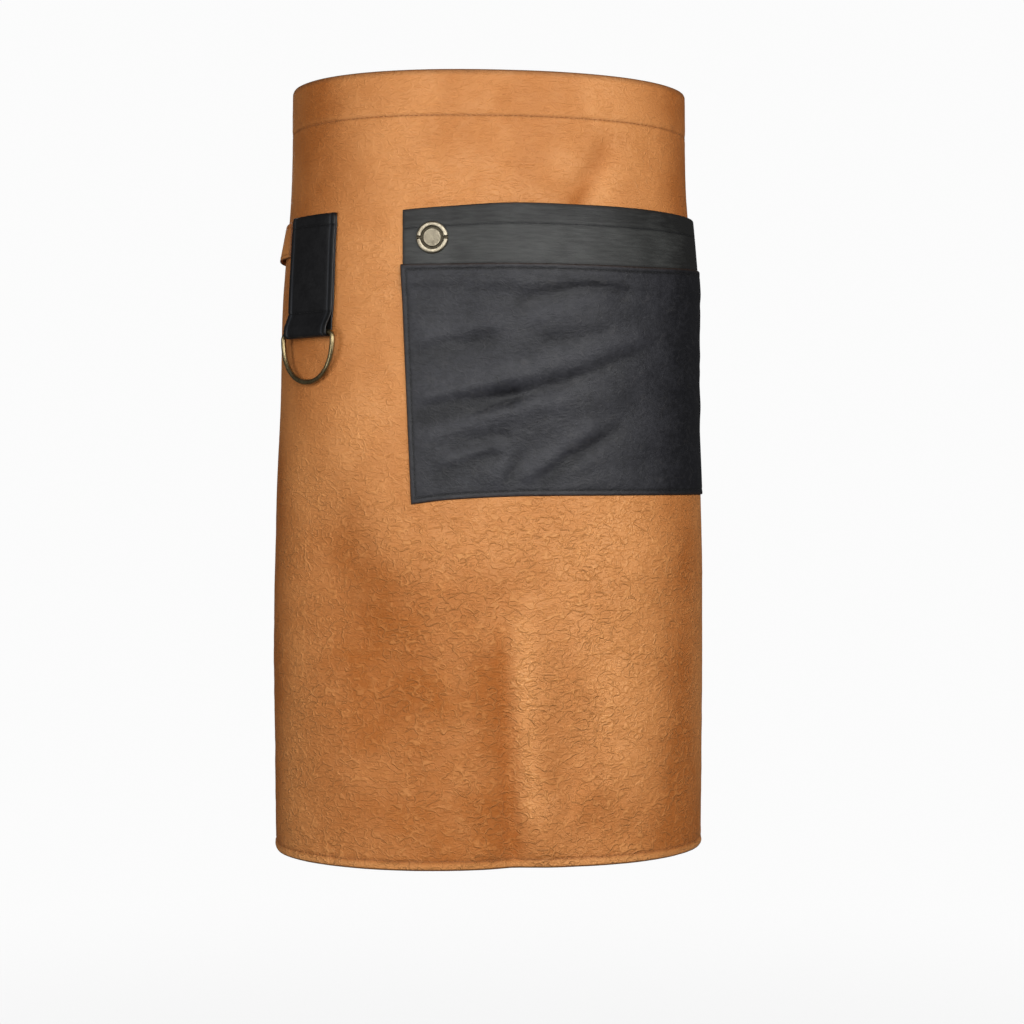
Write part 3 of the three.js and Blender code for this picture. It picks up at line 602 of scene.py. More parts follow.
def crinkled_tan_leather():
    """Vegetable-tanned cowhide, tumbled until it crinkled, then waxed, with short curved wrinkles that
    stand up from it and burnished edges. Its colour runs from deep to pale by painted light and shade
    and random clouds, and it is glossier where painted pale; the raised wrinkles, the bottom hem and a
    line over the waist seam carry a painted highlight."""
    material, tree, shader = new_finish("crinkled_tan_leather", Roughness=0.6, IOR=1.6, Specular_IOR_Level=0.85)
    shader.inputs["Specular Tint"].default_value = (1, 0.92, 0.62, 1)
    place = flat_mm(tree)
    crinkle, pale = value_of(tree, "crinkle"), value_of(tree, "pale")
    patches = spread(tree, lumps(tree, place, 45, 3.0), 0.34, 0.62, 0.7, 1.0)
    large = wriggles(tree, place, 10, 0.06, 0, 1.4)
    middling = wriggles(tree, place, 7, 0.07, 140, 1.3)
    small = wriggles(tree, place, 4.6, 0.09, 310, 1.3)
    level = wriggles(tree, place, 4.2, 0.09, 520, 3.2)
    wrinkles = math_of(tree, "MAXIMUM", large, math_of(tree, "MULTIPLY", middling, 0.75))
    wrinkles = math_of(tree, "MAXIMUM", wrinkles, math_of(tree, "MULTIPLY", small, 0.4))
    standing = math_of(tree, "MULTIPLY", math_of(tree, "MULTIPLY", wrinkles, crinkle), patches)
    flatter = math_of(tree, "MULTIPLY", level, 0.28)
    pores = math_of(tree, "MULTIPLY", lumps(tree, place, 1.5, 2.0), 0.16)
    height = math_of(tree, "ADD", math_of(tree, "MAXIMUM", standing, flatter), pores)
    raise_grain(tree, shader, height, 0.95)
    clouds = math_of(tree, "MULTIPLY", spread(tree, lumps(tree, place, 60, 4.0), 0.35, 0.65), 0.22)
    # Random clouds and the mesh's painted light and shade, which take the colour from deep to pale.
    painted_shading_and_clouds = add(tree, "ShaderNodeMath", {0: math_of(tree, "ADD", pale, clouds), 1: -0.11}, operation="ADD", use_clamp=True)
    body = tint(tree, painted_shading_and_clouds.outputs[0], linear("#aa5a14"), linear("#d98d4d"))
    # Painted highlight on the raised wrinkles, stronger where the leather is painted pale.
    shown = spread(tree, painted_shading_and_clouds.outputs[0], 0.0, 1.0, 0.24, 0.36)
    highlit_wrinkles = tint(tree, math_of(tree, "MULTIPLY", standing, shown), body, linear("#e29c58"))
    # Painted highlight over the bottom hem and along a line above the waist seam, from the mesh's highlight value.
    rubbed = tint(tree, math_of(tree, "MULTIPLY", value_of(tree, "rubbed"), 0.5), highlit_wrinkles, linear("#de9857"))
    seamed = tint(tree, math_of(tree, "MULTIPLY", value_of(tree, "seam"), 0.45), rubbed, linear("#7a3f15"))
    edged = tint(tree, math_of(tree, "MULTIPLY", value_of(tree, "edge"), 0.85), seamed, linear("#5c3214"))
    tree.links.new(edged, shader.inputs["Base Color"])
    rough = math_of(tree, "MULTIPLY", painted_shading_and_clouds.outputs[0], -0.28)
    uneven = spread(tree, lumps(tree, place, 22, 3.0), 0.3, 0.7, 0.79, 0.87)
    tree.links.new(math_of(tree, "ADD", uneven, rough), shader.inputs["Roughness"])
    return material


def flesh_side():
    """The cut underside of the same hide: pale, dry and napped, with no shine."""
    material, tree, shader = new_finish("tan_leather_flesh_side", Roughness=0.9, IOR=1.4)
    place = flat_mm(tree)
    nap = lumps(tree, place, 2.2, 4.0)
    raise_grain(tree, shader, nap, 0.3)
    clouds = spread(tree, lumps(tree, place, 40, 4.0), 0.3, 0.7)
    soft = tint(tree, clouds, linear("#a8794a"), linear("#bb8d5c"))
    tree.links.new(tint(tree, math_of(tree, "MULTIPLY", nap, 0.35), soft, linear("#8f6238")), shader.inputs["Base Color"])
    return material


def smooth_tan_leather():
    """The strap's firmer tan leather: close grain, lightly waxed, with burnished edges."""
    material, tree, shader = new_finish("smooth_tan_leather", Roughness=0.5, IOR=1.48)
    place = flat_mm(tree)
    grain = lumps(tree, place, 1.6, 3.0)
    raise_grain(tree, shader, grain, 0.09)
    clouds = spread(tree, lumps(tree, place, 25, 3.0), 0.3, 0.7)
    body = tint(tree, clouds, linear("#d07f3c"), linear("#dc924e"))
    seamed = tint(tree, math_of(tree, "MULTIPLY", value_of(tree, "seam"), 0.5), body, linear("#83481c"))
    edged = tint(tree, math_of(tree, "MULTIPLY", value_of(tree, "edge"), 0.8), seamed, linear("#5c3214"))
    tree.links.new(edged, shader.inputs["Base Color"])
    return material


def black_leather(name, dark, light, roughness, grain_size, grain_depth, edge, stretch=1.0, scuffs=0.0):
    """Black waxed leather, with a fine grain that can run along the piece, small scuffs and painted
    edges. Its tone carries painted light and shade: darker in creases and where a piece turns from the
    light, paler on rolls, and a painted highlight along the hanger's pressed lines."""
    material, tree, shader = new_finish(name, Roughness=roughness, IOR=1.45)
    place = flat_mm(tree)
    along = add(tree, "ShaderNodeMapping", {"Vector": place, "Scale": (1 / stretch, 1, 1)}).outputs[0]
    grain = math_of(tree, "ADD", lumps(tree, along, grain_size, 3.0), lumps(tree, along, grain_size * 3, 3.0))
    creased = wriggles(tree, place, 13, 0.03, 60, 1.6)
    height = math_of(tree, "ADD", grain, math_of(tree, "MULTIPLY", creased, 2 * scuffs))
    raise_grain(tree, shader, height, grain_depth)
    clouds = spread(tree, lumps(tree, place, 24, 5.0), 0.32, 0.68, 0.25, 0.45)
    streaks = spread(tree, lumps(tree, along, grain_size * 2, 4.0), 0.3, 0.7, 0.0, 0.3)
    cloudy = math_of(tree, "ADD", clouds, streaks)
    # Random clouds and streaks, and the mesh's painted light and shade.
    pulled = add(tree, "ShaderNodeMath", {0: cloudy, 1: value_of(tree, "pulled")}, operation="ADD", use_clamp=True)
    body = tint(tree, pulled.outputs[0], linear(dark), linear(light))
    scuffed = tint(tree, math_of(tree, "MULTIPLY", creased, scuffs * 0.4), body, linear("#6b6763"))
    seamed = tint(tree, math_of(tree, "MULTIPLY", value_of(tree, "seam"), 0.9), scuffed, linear("#040405"))
    # Painted highlight along the hanger's pressed lines, from the mesh's highlight value.
    rubbed = tint(tree, math_of(tree, "MULTIPLY", value_of(tree, "rubbed"), 0.55), seamed, linear("#3a3d42"))
    edged = tint(tree, value_of(tree, "edge"), rubbed, linear(edge))
    tree.links.new(edged, shader.inputs["Base Color"])
    rough = spread(tree, lumps(tree, place, 12, 3.0), 0.3, 0.7, roughness - 0.03, roughness + 0.04)
    tree.links.new(rough, shader.inputs["Roughness"])
    return material


def aged_metal(name, worn, deep, roughness):
    """Cast and plated brass, worn pale on its high places and dark with tarnish between."""
    material, tree, shader = new_finish(name, Metallic=1.0, Roughness=roughness)
    place = add(tree, "ShaderNodeTexCoord").outputs["Object"]
    scaled = add(tree, "ShaderNodeVectorMath", {0: place, "Scale": 1 / MM}, operation="SCALE").outputs[0]
    cloud = add(tree, "ShaderNodeTexNoise", {"Vector": scaled, "Scale": 1 / 6, "Detail": 3.0}).outputs["Fac"]
    patina = spread(tree, cloud, 0.3, 0.75)
    plated = tint(tree, patina, linear(worn), linear(deep))
    tree.links.new(tint(tree, value_of(tree, "tarnish"), plated, linear("#3b362c")), shader.inputs["Base Color"])
    fine = add(tree, "ShaderNodeTexNoise", {"Vector": scaled, "Scale": 1 / 0.9, "Detail": 3.0}).outputs["Fac"]
    raise_grain(tree, shader, fine, 0.03)
    tree.links.new(spread(tree, fine, 0.3, 0.7, roughness - 0.08, roughness + 0.12), shader.inputs["Roughness"])
    return material


def waxed_thread(name, colour):
    """Waxed polyester thread, with a fine noise over it for the twist of its plies."""
    material, tree, shader = new_finish(name, Roughness=0.55)
    place = add(tree, "ShaderNodeTexCoord").outputs["Object"]
    fibre = add(tree, "ShaderNodeTexNoise", {"Vector": place, "Scale": 900.0, "Detail": 2.0}).outputs["Fac"]
    raise_grain(tree, shader, fibre, 0.06)
    darker = tuple(c * 0.6 for c in linear(colour)[:3])
    tree.links.new(tint(tree, fibre, (*darker, 1), linear(colour)), shader.inputs["Base Color"])
    return material


TAN = crinkled_tan_leather()
FLESH = flesh_side()
STRAP_TAN = smooth_tan_leather()
POCKET_BLACK = black_leather("pull_up_black_leather", "#0f0f14", "#313136", 0.55, 1.8, 0.28, "#2a1a0e", 1.5, 0.14)
BAND_BLACK = black_leather("smooth_band_leather", "#1c1c1b", "#424341", 0.54, 1.1, 0.18, "#1b120c", 7.0)
HANGER_BLACK = black_leather("hanger_bridle_leather", "#060608", "#1e1e20", 0.42, 1.4, 0.08, "#080808")
RING_BRASS = aged_metal("antique_brass_wire", "#a3936f", "#7d6e4f", 0.34)
STUD_PLATE = aged_metal("antique_stud_plating", "#a79e8a", "#8a8170", 0.4)
TAN_THREAD = waxed_thread("tan_waxed_thread", "#b06c30")
BLACK_THREAD = waxed_thread("black_waxed_thread", "#1b1b1e")


# Stitches
def stitch_tree():
    """Lays one stitch after another along a seam's line, pulled down into the leather."""
    tree = bpy.data.node_groups.new("stitches_along_a_seam", "GeometryNodeTree")
    tree.interface.new_socket("Seam", in_out="INPUT", socket_type="NodeSocketGeometry")
    for name in ("Pitch", "Stitch Length", "Thread Width"):
        tree.interface.new_socket(name, in_out="INPUT", socket_type="NodeSocketFloat")
    tree.interface.new_socket("Thread", in_out="INPUT", socket_type="NodeSocketMaterial")
    tree.interface.new_socket("Stitches", in_out="OUTPUT", socket_type="NodeSocketGeometry")
    given = add(tree, "NodeGroupInput").outputs
    line = add(tree, "GeometryNodeMeshToCurve", {"Mesh": given["Seam"]})
    spots = add(tree, "GeometryNodeCurveToPoints", {"Curve": line.outputs[0], "Length": given["Pitch"]}, mode="LENGTH")
    ahead = add(tree, "FunctionNodeAlignRotationToVector", {"Vector": spots.outputs["Tangent"]}, axis="X")
    away = add(tree, "GeometryNodeInputNamedAttribute", {"Name": "away"}, data_type="FLOAT_VECTOR")
    facing = {"Rotation": ahead.outputs[0], "Vector": away.outputs[0]}
    turn = add(tree, "FunctionNodeAlignRotationToVector", facing, axis="Z", pivot_axis="X")
    bead = add(tree, "GeometryNodeMeshUVSphere", {"Segments": 8, "Rings": 6, "Radius": 0.5})
    size = {"X": given["Stitch Length"], "Y": given["Thread Width"], "Z": given["Thread Width"]}
    scale = add(tree, "ShaderNodeCombineXYZ", size)
    lay = {"Points": spots.outputs[0], "Instance": bead.outputs[0], "Rotation": turn.outputs[0], "Scale": scale.outputs[0]}
    laid = add(tree, "GeometryNodeInstanceOnPoints", lay)
    whole = add(tree, "GeometryNodeRealizeInstances", {"Geometry": laid.outputs[0]})
    round_off = add(tree, "GeometryNodeSetShadeSmooth", {"Geometry": whole.outputs[0]})
    dressed = add(tree, "GeometryNodeSetMaterial", {"Geometry": round_off.outputs[0], "Material": given["Thread"]})
    add(tree, "NodeGroupOutput", {"Stitches": dressed.outputs[0]})
    return tree


STITCHES = stitch_tree()


def make_stitches(name, seams, thread, pitch=STITCH_PITCH, length=STITCH_LENGTH, width=THREAD, body="apron"):
    """One mesh of the stitches along several seams. A seam is its points and directions out."""
    line = bpy.data.meshes.new(name + "_line")
    points = np.concatenate([p for p, _ in seams]) * MM
    starts = np.cumsum([0] + [len(p) for p, _ in seams])
    edges = [(i, i + 1) for a, b in zip(starts, starts[1:]) for i in range(a, b - 1)]
    line.from_pydata(points.tolist(), edges, [])
    away = np.concatenate([a for _, a in seams]).astype(np.float32)
    line.attributes.new("away", "FLOAT_VECTOR", "POINT").data.foreach_set("vector", away.ravel())
    guide = bpy.data.objects.new(name + "_line", line)
    bpy.context.scene.collection.objects.link(guide)
    maker = guide.modifiers.new("stitches", "NODES")
    maker.node_group = STITCHES
    sizes = {"Pitch": pitch * MM, "Stitch Length": length * MM, "Thread Width": width * MM, "Thread": thread}
    for socket in STITCHES.interface.items_tree:
        if socket.name in sizes:
            maker[socket.identifier] = sizes[socket.name]
    shown = guide.evaluated_get(bpy.context.evaluated_depsgraph_get())
    mesh = bpy.data.meshes.new_from_object(shown)
    mesh.name = name
    bpy.data.objects.remove(guide)
    obj = bpy.data.objects.new(name, mesh)
    bpy.context.scene.collection.objects.link(obj)
    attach(obj, body)
    return obj


# Panel
PANEL_STEP = 3.4
HALF_PANEL = PANEL_WIDTH / 2
WAIST_SEAM_Z = TOP_Z - WAIST_HEM
BOTTOM_SEAM_Z = BOTTOM_Z + BOTTOM_HEM - 1.5
SIDE_SEAM = HALF_PANEL - SIDE_HEM + 2

# Where something is sewn on or hangs close, the panel keeps its plain form: left, right, low, high
CALM_PLACES = [
    (POCKET_LEFT - 6, POCKET_RIGHT + 10, SEAM_Z - FRONT_HEIGHT - 12, MOUTH_Z + 5),
    (HANGER_ACROSS - 32, HANGER_ACROSS + 32, HANGER_TOP_Z - HANGER_LENGTH - 50, HANGER_TOP_Z + 4),
    (-HALF_PANEL, -LEFT_STRAP_START + 4, -STRAP_WIDTH / 2 - 4, STRAP_WIDTH / 2 + 4),
    (RIGHT_STRAP_START - 4, HALF_PANEL, -STRAP_WIDTH / 2 - 4, STRAP_WIDTH / 2 + 4),
]
CALM_FADE = 22


def free(across, z):
    """1 where the panel hangs free, and 0 under what is sewn to it."""
    share = 1.0
    for left, right, low, high in CALM_PLACES:
        dx = np.maximum(0, np.maximum(left - across, across - right))
        dz = np.maximum(0, np.maximum(low - z, z - high))
        share = share * smoothstep(np.hypot(dx, dz), 0, CALM_FADE)
    return share


def crinkle_share(across, z):
    """How strongly the leather is crinkled: most over the thighs and beside the leg crease."""
    low = smoothstep(z, -90, -290)
    beside = np.exp(-(((across + 6) / 120) ** 2)) * smoothstep(z, -170, -330)
    return np.clip(0.38 + 0.42 * low + 0.35 * beside, 0, 1)


def crumple(across, z):
    """The panel's own unevenness, out of its plain form: slow waves all over, then soft rolls and
    beds where the leather is crinkled."""
    share = crinkle_share(across, z)
    waves = 1.3 * noisy(across, z, 95, 3.1, 0.8) + 0.7 * noisy(across, z, 40, 8.4, 1.2)
    beds = 0.3 * np.exp(-((noisy(across, z, 30, 1.7, 1.25) / 0.08) ** 2))
    rolls = 0.35 * np.exp(-((noisy(across, z, 19, 5.2, 1.4) / 0.1) ** 2))
    fine = 0.5 * noisy(across, z, 13, 9.6, 1.5) + 0.3 * noisy(across, z, 8, 6.1, 1.3)
    fine_folds = sunk(FINE_PANEL_FOLDS, "across", PANEL_WIDTH / 2, PANEL_LENGTH, 1, across, TOP_Z - z)
    round_the_side = 1 - 0.65 * smoothstep(np.abs(across), 110, 185)
    return round_the_side * (waves + share * (rolls - beds + fine)) - fine_folds


def bend(across, z):
    """How far the whole wall is bent out, where the panel hangs free."""
    edge = np.minimum(TOP_Z - z, z - BOTTOM_Z)
    return crumple(across, z) * free(across, z) * (0.25 + 0.75 * smoothstep(edge, 0, 14))


def pucker(across, z, seam_z, size):
    """Little pulls across a seam, strongest at its line."""
    return noisy(across, z, size, 12.3) * np.exp(-(((z - seam_z) / 4.5) ** 2))


def panel_relief(across, z):
    """What seams and hems do to the outer face."""
    lip = np.clip((z - BOTTOM_Z) / (BOTTOM_SEAM_Z - BOTTOM_Z), 0, 1)
    hems = 0.8 * np.sin(np.pi * lip) + 0.35 * smoothstep(z, WAIST_SEAM_Z, WAIST_SEAM_Z + 5)
    seams = groove(z - WAIST_SEAM_Z, 0.4) + groove(z - BOTTOM_SEAM_Z, 0.45)
    seams = seams + groove(np.abs(across) - SIDE_SEAM, 0.4)
    pulls = 1.1 * pucker(across, z, BOTTOM_SEAM_Z, 8) + 0.7 * pucker(across, z, WAIST_SEAM_Z, 9)
    return hems - seams + pulls


def panel_out(across, z):
    return bend(across, z) + panel_relief(across, z)


def make_panel():
    inset = PANEL_WALL
    fold = SIDE_HEM - 0.4
    lip = (BOTTOM_Z + BOTTOM_SEAM_Z) / 2
    across = graded(-HALF_PANEL + inset, HALF_PANEL - inset, PANEL_STEP, (-SIDE_SEAM, SIDE_SEAM))
    heights = graded(BOTTOM_Z + inset, TOP_Z - inset, PANEL_STEP, (WAIST_SEAM_Z, BOTTOM_SEAM_Z, lip))
    c, r = np.meshgrid(across, heights)
    bent, relief = bend(c, r), panel_relief(c, r)
    hemmed = np.maximum(smoothstep(r, WAIST_SEAM_Z - 4, WAIST_SEAM_Z - 3), smoothstep(r, BOTTOM_Z + 11, BOTTOM_Z + 10))
    hemmed = np.maximum(hemmed, smoothstep(np.abs(c), HALF_PANEL - fold - 1, HALF_PANEL - fold))
    inner = bent + np.minimum(0, relief) - PANEL_WALL * (1 + hemmed)
    seam = np.clip(groove(r - WAIST_SEAM_Z, 1) + groove(r - BOTTOM_SEAM_Z, 1) + groove(np.abs(c) - SIDE_SEAM, 1), 0, 1)
    # Painted highlight over the rolled bottom hem below its stitch line, and along a line just above the waist seam.
    rubbed = np.maximum(smoothstep(r, BOTTOM_SEAM_Z, lip), 0.4 * groove(r - WAIST_SEAM_Z - 3, 1, 1.5))
    # Painted light and shade: the pale value is paler where the light falls full and deeper in painted shade, as the
    # table gives.
    pale = 1 - sunk(PAINTED_SHADING_PLACES, "across", HALF_PANEL, PANEL_LENGTH, 1, c, TOP_Z - r)
    shape = sheet(
        wrap(c, r, bent + relief), wrap(c, r, inner), np.stack([c, r], axis=-1),
        seam=seam, crinkle=crinkle_share(c, r), rubbed=rubbed, pale=0.8 * np.clip(pale, 0, 1.25),
    )
    turned_in = np.tile((hemmed[:-1, :-1] > 0.5).ravel(), 2)
    flags = shape.inner[:len(turned_in)]
    shape.inner[:len(turned_in)] = np.where(turned_in, 0, flags)
    panel = make_piece("apron_panel_leather", shape, [TAN, FLESH], node="apron_panel")
    return panel


def seam_on_panel(across, z):
    across, z = np.broadcast_arrays(np.asarray(across, float), np.asarray(z, float))
    return wrap(across, z, panel_out(across, z) + 0.12), outwards(across, z)


def make_panel_stitches():
    inset = 6
    level = np.linspace(-SIDE_SEAM, SIDE_SEAM, 400)
    upright = np.linspace(BOTTOM_SEAM_Z + inset, WAIST_SEAM_Z - inset, 300)
    seams = [seam_on_panel(level, WAIST_SEAM_Z), seam_on_panel(level, BOTTOM_SEAM_Z)]
    seams += [seam_on_panel(side * SIDE_SEAM, upright) for side in (-1, 1)]
    return make_stitches("hem_stitches", seams, TAN_THREAD)


# Pocket
POCKET_STEP = 2.6
STITCH_INSET = 4.1
BAND_STITCH_DROP = 16.3


def pocket_edge(across, value):
    return FRONT_HEIGHT * read(POCKET_EDGES, "along", (across - POCKET_LEFT) / POCKET_WIDTH, value)


def stand_off_share(across, z):
    along = read(BULGE_ALONG, "at", (across - POCKET_LEFT) / POCKET_WIDTH, "share")
    return along * read(BULGE_DOWN, "at", (MOUTH_Z - z) / (BAND_HEIGHT + FRONT_HEIGHT), "share")


def band_out(across, z):
    return SEAM_GAP + POCKET_BULGE * stand_off_share(across, z)


def band_place(across, drop):
    """Heights on the band, by the distance below its mouth."""
    low = SEAM_Z - BAND_LAP + pocket_edge(across, "lift")
    high = MOUTH_Z + pocket_edge(across, "rise")
    return high - (high - low) * drop / (BAND_HEIGHT + BAND_LAP)


def band_relief(across, z, drop):
    side = np.minimum(across - POCKET_LEFT - BAND_INSET, POCKET_RIGHT - BAND_INSET - across)
    seams = groove(drop - BAND_STITCH_DROP, 0.3, 0.9) + groove(side - 2.4, 0.3, 0.9)
    lumps_in_it = 0.25 * noisy(across, z, 38, 2.2, 1.6) * smoothstep(side, 0, 10)
    return lumps_in_it - seams


def make_band():
    inset = POCKET_WALL / 2
    across = graded(POCKET_LEFT + BAND_INSET + inset, POCKET_RIGHT - BAND_INSET - inset, POCKET_STEP)
    drops = graded(inset, BAND_HEIGHT + BAND_LAP - inset, POCKET_STEP, (BAND_STITCH_DROP,))[::-1]
    c, drop = np.meshgrid(across, drops)
    z = band_place(c, drop)
    relief = band_relief(c, z, drop)
    base = band_out(c, z)
    # Darker along the stitch line, and a painted shadow on the strip of band just over and under the front's top edge.
    seam = np.clip(groove(drop - BAND_STITCH_DROP, 0.9, 0.9) + smoothstep(drop, 46.8, 48.2), 0, 1)
    outer, inner = wrap(c, z, base + POCKET_WALL + relief), wrap(c, z, base + np.minimum(0, relief))
    # Darker over the band's top, above its stitch line, and painted shade towards the right, where the band turns from
    # the light.
    pulled = -0.4 * smoothstep(drop, BAND_STITCH_DROP + 1, BAND_STITCH_DROP - 5) - 0.6 * smoothstep(c, 135, 180)
    shape = sheet(outer, inner, np.stack([c, z], axis=-1), seam=seam, pulled=pulled)
    return make_piece("pocket_band_leather", shape, [BAND_BLACK], node="pocket_band")


def front_base(across, z):
    """How far the front's inner face stands off the panel: over the band, then down to the panel."""
    clear = SEAM_Z - BAND_LAP - BAND_CLEAR
    over = smoothstep(z, clear - BAND_FADE, clear)
    return band_out(across, z) + over * (POCKET_WALL + SEAM_GAP)


def front_place(column, drop):
    """The place across and the height on the front, by its column and the distance below its top."""
    low = SEAM_Z - FRONT_HEIGHT - pocket_edge(column, "dip")
    high = SEAM_Z + pocket_edge(column, "lift")
    down = drop / FRONT_HEIGHT
    return column + pocket_edge(column, "slant") * down, high - (high - low) * down


def front_bend(column, drop, z):
    """How far the front's whole wall is bent out. It never sinks into what lies behind it."""
    right, down = column - POCKET_LEFT, SEAM_Z - z
    creases = sunk(POCKET_CREASES, "along", POCKET_WIDTH, FRONT_HEIGHT, CREASE_DEPTH, right, down)
    wrinkles = sunk(FRONT_WRINKLES, "along", POCKET_WIDTH, FRONT_HEIGHT, 1, right, drop)
    slanted = noisy(column + 1.1 * z, 2.1 * z - 0.6 * column, 44, 4.4, 1.9)
    small = 0.6 * noisy(column, z, 24, 6.6, 1.5) + 0.2 * noisy(column, z, 9, 2.9, 1.3)
    side = np.minimum(right, POCKET_RIGHT - column)
    edge = np.minimum(side, np.minimum(drop, FRONT_HEIGHT - drop))
    free_share = smoothstep(edge, 2, 18)
    wanted = free_share * (1.1 * slanted + small - wrinkles) - stand_off_share(column, z) * creases
    clear = SEAM_Z - BAND_LAP - BAND_CLEAR
    over_band = smoothstep(z, clear - BAND_FADE, clear)
    room = (front_base(column, z) - SEAM_GAP) * (1 - over_band)
    return np.maximum(wanted, -room)


def front_out(column, drop):
    """The place across, the height, the inner face and the outer face's relief on the front."""
    across, z = front_place(column, drop)
    side = np.minimum(column - POCKET_LEFT, POCKET_RIGHT - column)
    edge = np.minimum(side, np.minimum(drop, FRONT_HEIGHT - drop))
    rolled = 0.15 * (1 - smoothstep(np.abs(edge - STITCH_INSET / 2), 1.0, 2.2))
    return across, z, front_base(column, z) + front_bend(column, drop, z), rolled - groove(edge - STITCH_INSET, 0.35, 0.9)


def make_front():
    inset = POCKET_WALL / 2
    left_seam, right_seam = POCKET_LEFT + STITCH_INSET, POCKET_RIGHT - STITCH_INSET
    columns = graded(POCKET_LEFT + inset, POCKET_RIGHT - inset, POCKET_STEP, (left_seam, right_seam))
    drops = graded(inset, FRONT_HEIGHT - inset, POCKET_STEP, (STITCH_INSET, FRONT_HEIGHT - STITCH_INSET))[::-1]
    c, drop = np.meshgrid(columns, drops)
    across, z, base, relief = front_out(c, drop)
    side = np.minimum(c - POCKET_LEFT, POCKET_RIGHT - c)
    edge = np.minimum(side, np.minimum(drop, FRONT_HEIGHT - drop))
    seam = groove(edge - STITCH_INSET, 1, 0.9)
    wrinkles = sunk(FRONT_WRINKLES, "along", POCKET_WIDTH, FRONT_HEIGHT, 1, c - POCKET_LEFT, drop)
    # Painted light and shade: darker in the creases and paler on the rolls, where shade and light fall, and darker
    # towards the right, painted shade where the pocket turns from the light.
    pulled = np.clip(0.02 - 0.24 * wrinkles, -0.6, 0.3) - 0.5 * smoothstep(c, 118, 165)
    outer, inner = wrap(across, z, base + POCKET_WALL + relief), wrap(across, z, base)
    shape = sheet(outer, inner, np.stack([c, z], axis=-1), seam=seam, pulled=pulled)
    return make_piece("pocket_front_leather", shape, [POCKET_BLACK], node="pocket_front")


def seam_on_front(column, drop):
    column, drop = np.broadcast_arrays(np.asarray(column, float), np.asarray(drop, float))
    across, z, base, relief = front_out(column, drop)
    return wrap(across, z, base + POCKET_WALL + relief + 0.1), outwards(across, z)


def seam_on_band(across, drop):
    across, drop = np.broadcast_arrays(np.asarray(across, float), np.asarray(drop, float))
    z = band_place(across, drop)
    return wrap(across, z, band_out(across, z) + POCKET_WALL + band_relief(across, z, drop) + 0.1), outwards(across, z)


def make_pocket_stitches():
    level = np.linspace(POCKET_LEFT + STITCH_INSET, POCKET_RIGHT - STITCH_INSET, 200)
    upright = np.linspace(STITCH_INSET, FRONT_HEIGHT - STITCH_INSET, 120)
    seams = [seam_on_front(level, STITCH_INSET), seam_on_front(level, FRONT_HEIGHT - STITCH_INSET)]
    seams += [seam_on_front(level[0], upright), seam_on_front(level[-1], upright)]
    seams += [seam_on_band(level[1:-1], BAND_STITCH_DROP)]
    return make_stitches("pocket_stitches", seams, BLACK_THREAD, 3.4, 2.7, 0.6)


# Pocket stud: a disc in a groove, inside a rim with a notch at each side, and a cap behind
STUD_SIDES = 96


def stud_face(radius, angle):
    """Height of the stud's face over its foot, by the distance from its middle and the angle."""
    groove_end = STUD_DISC_RADIUS + STUD_GROOVE
    disc = STUD_DISC * (1 - smoothstep(radius, STUD_DISC_RADIUS - 0.5, STUD_DISC_RADIUS + 0.1))
    dish = 0.12 * (1 - smoothstep(radius, 0, STUD_DISC_RADIUS - 1.2))
    rim = STUD_RIM * smoothstep(radius, groove_end - 0.1, groove_end + 0.7)
    crown = 0.25 * np.sin(np.pi * np.clip((radius - groove_end) / (STUD_RADIUS - groove_end), 0, 1))
    across_notch = np.abs(radius * np.sin(angle))
    notch = (1 - smoothstep(across_notch, STUD_SLOT / 2 - 0.25, STUD_SLOT / 2 + 0.25)) * (radius > groove_end)
    return disc - dish + (rim + crown * (rim > 0)) * (1 - 0.9 * notch)


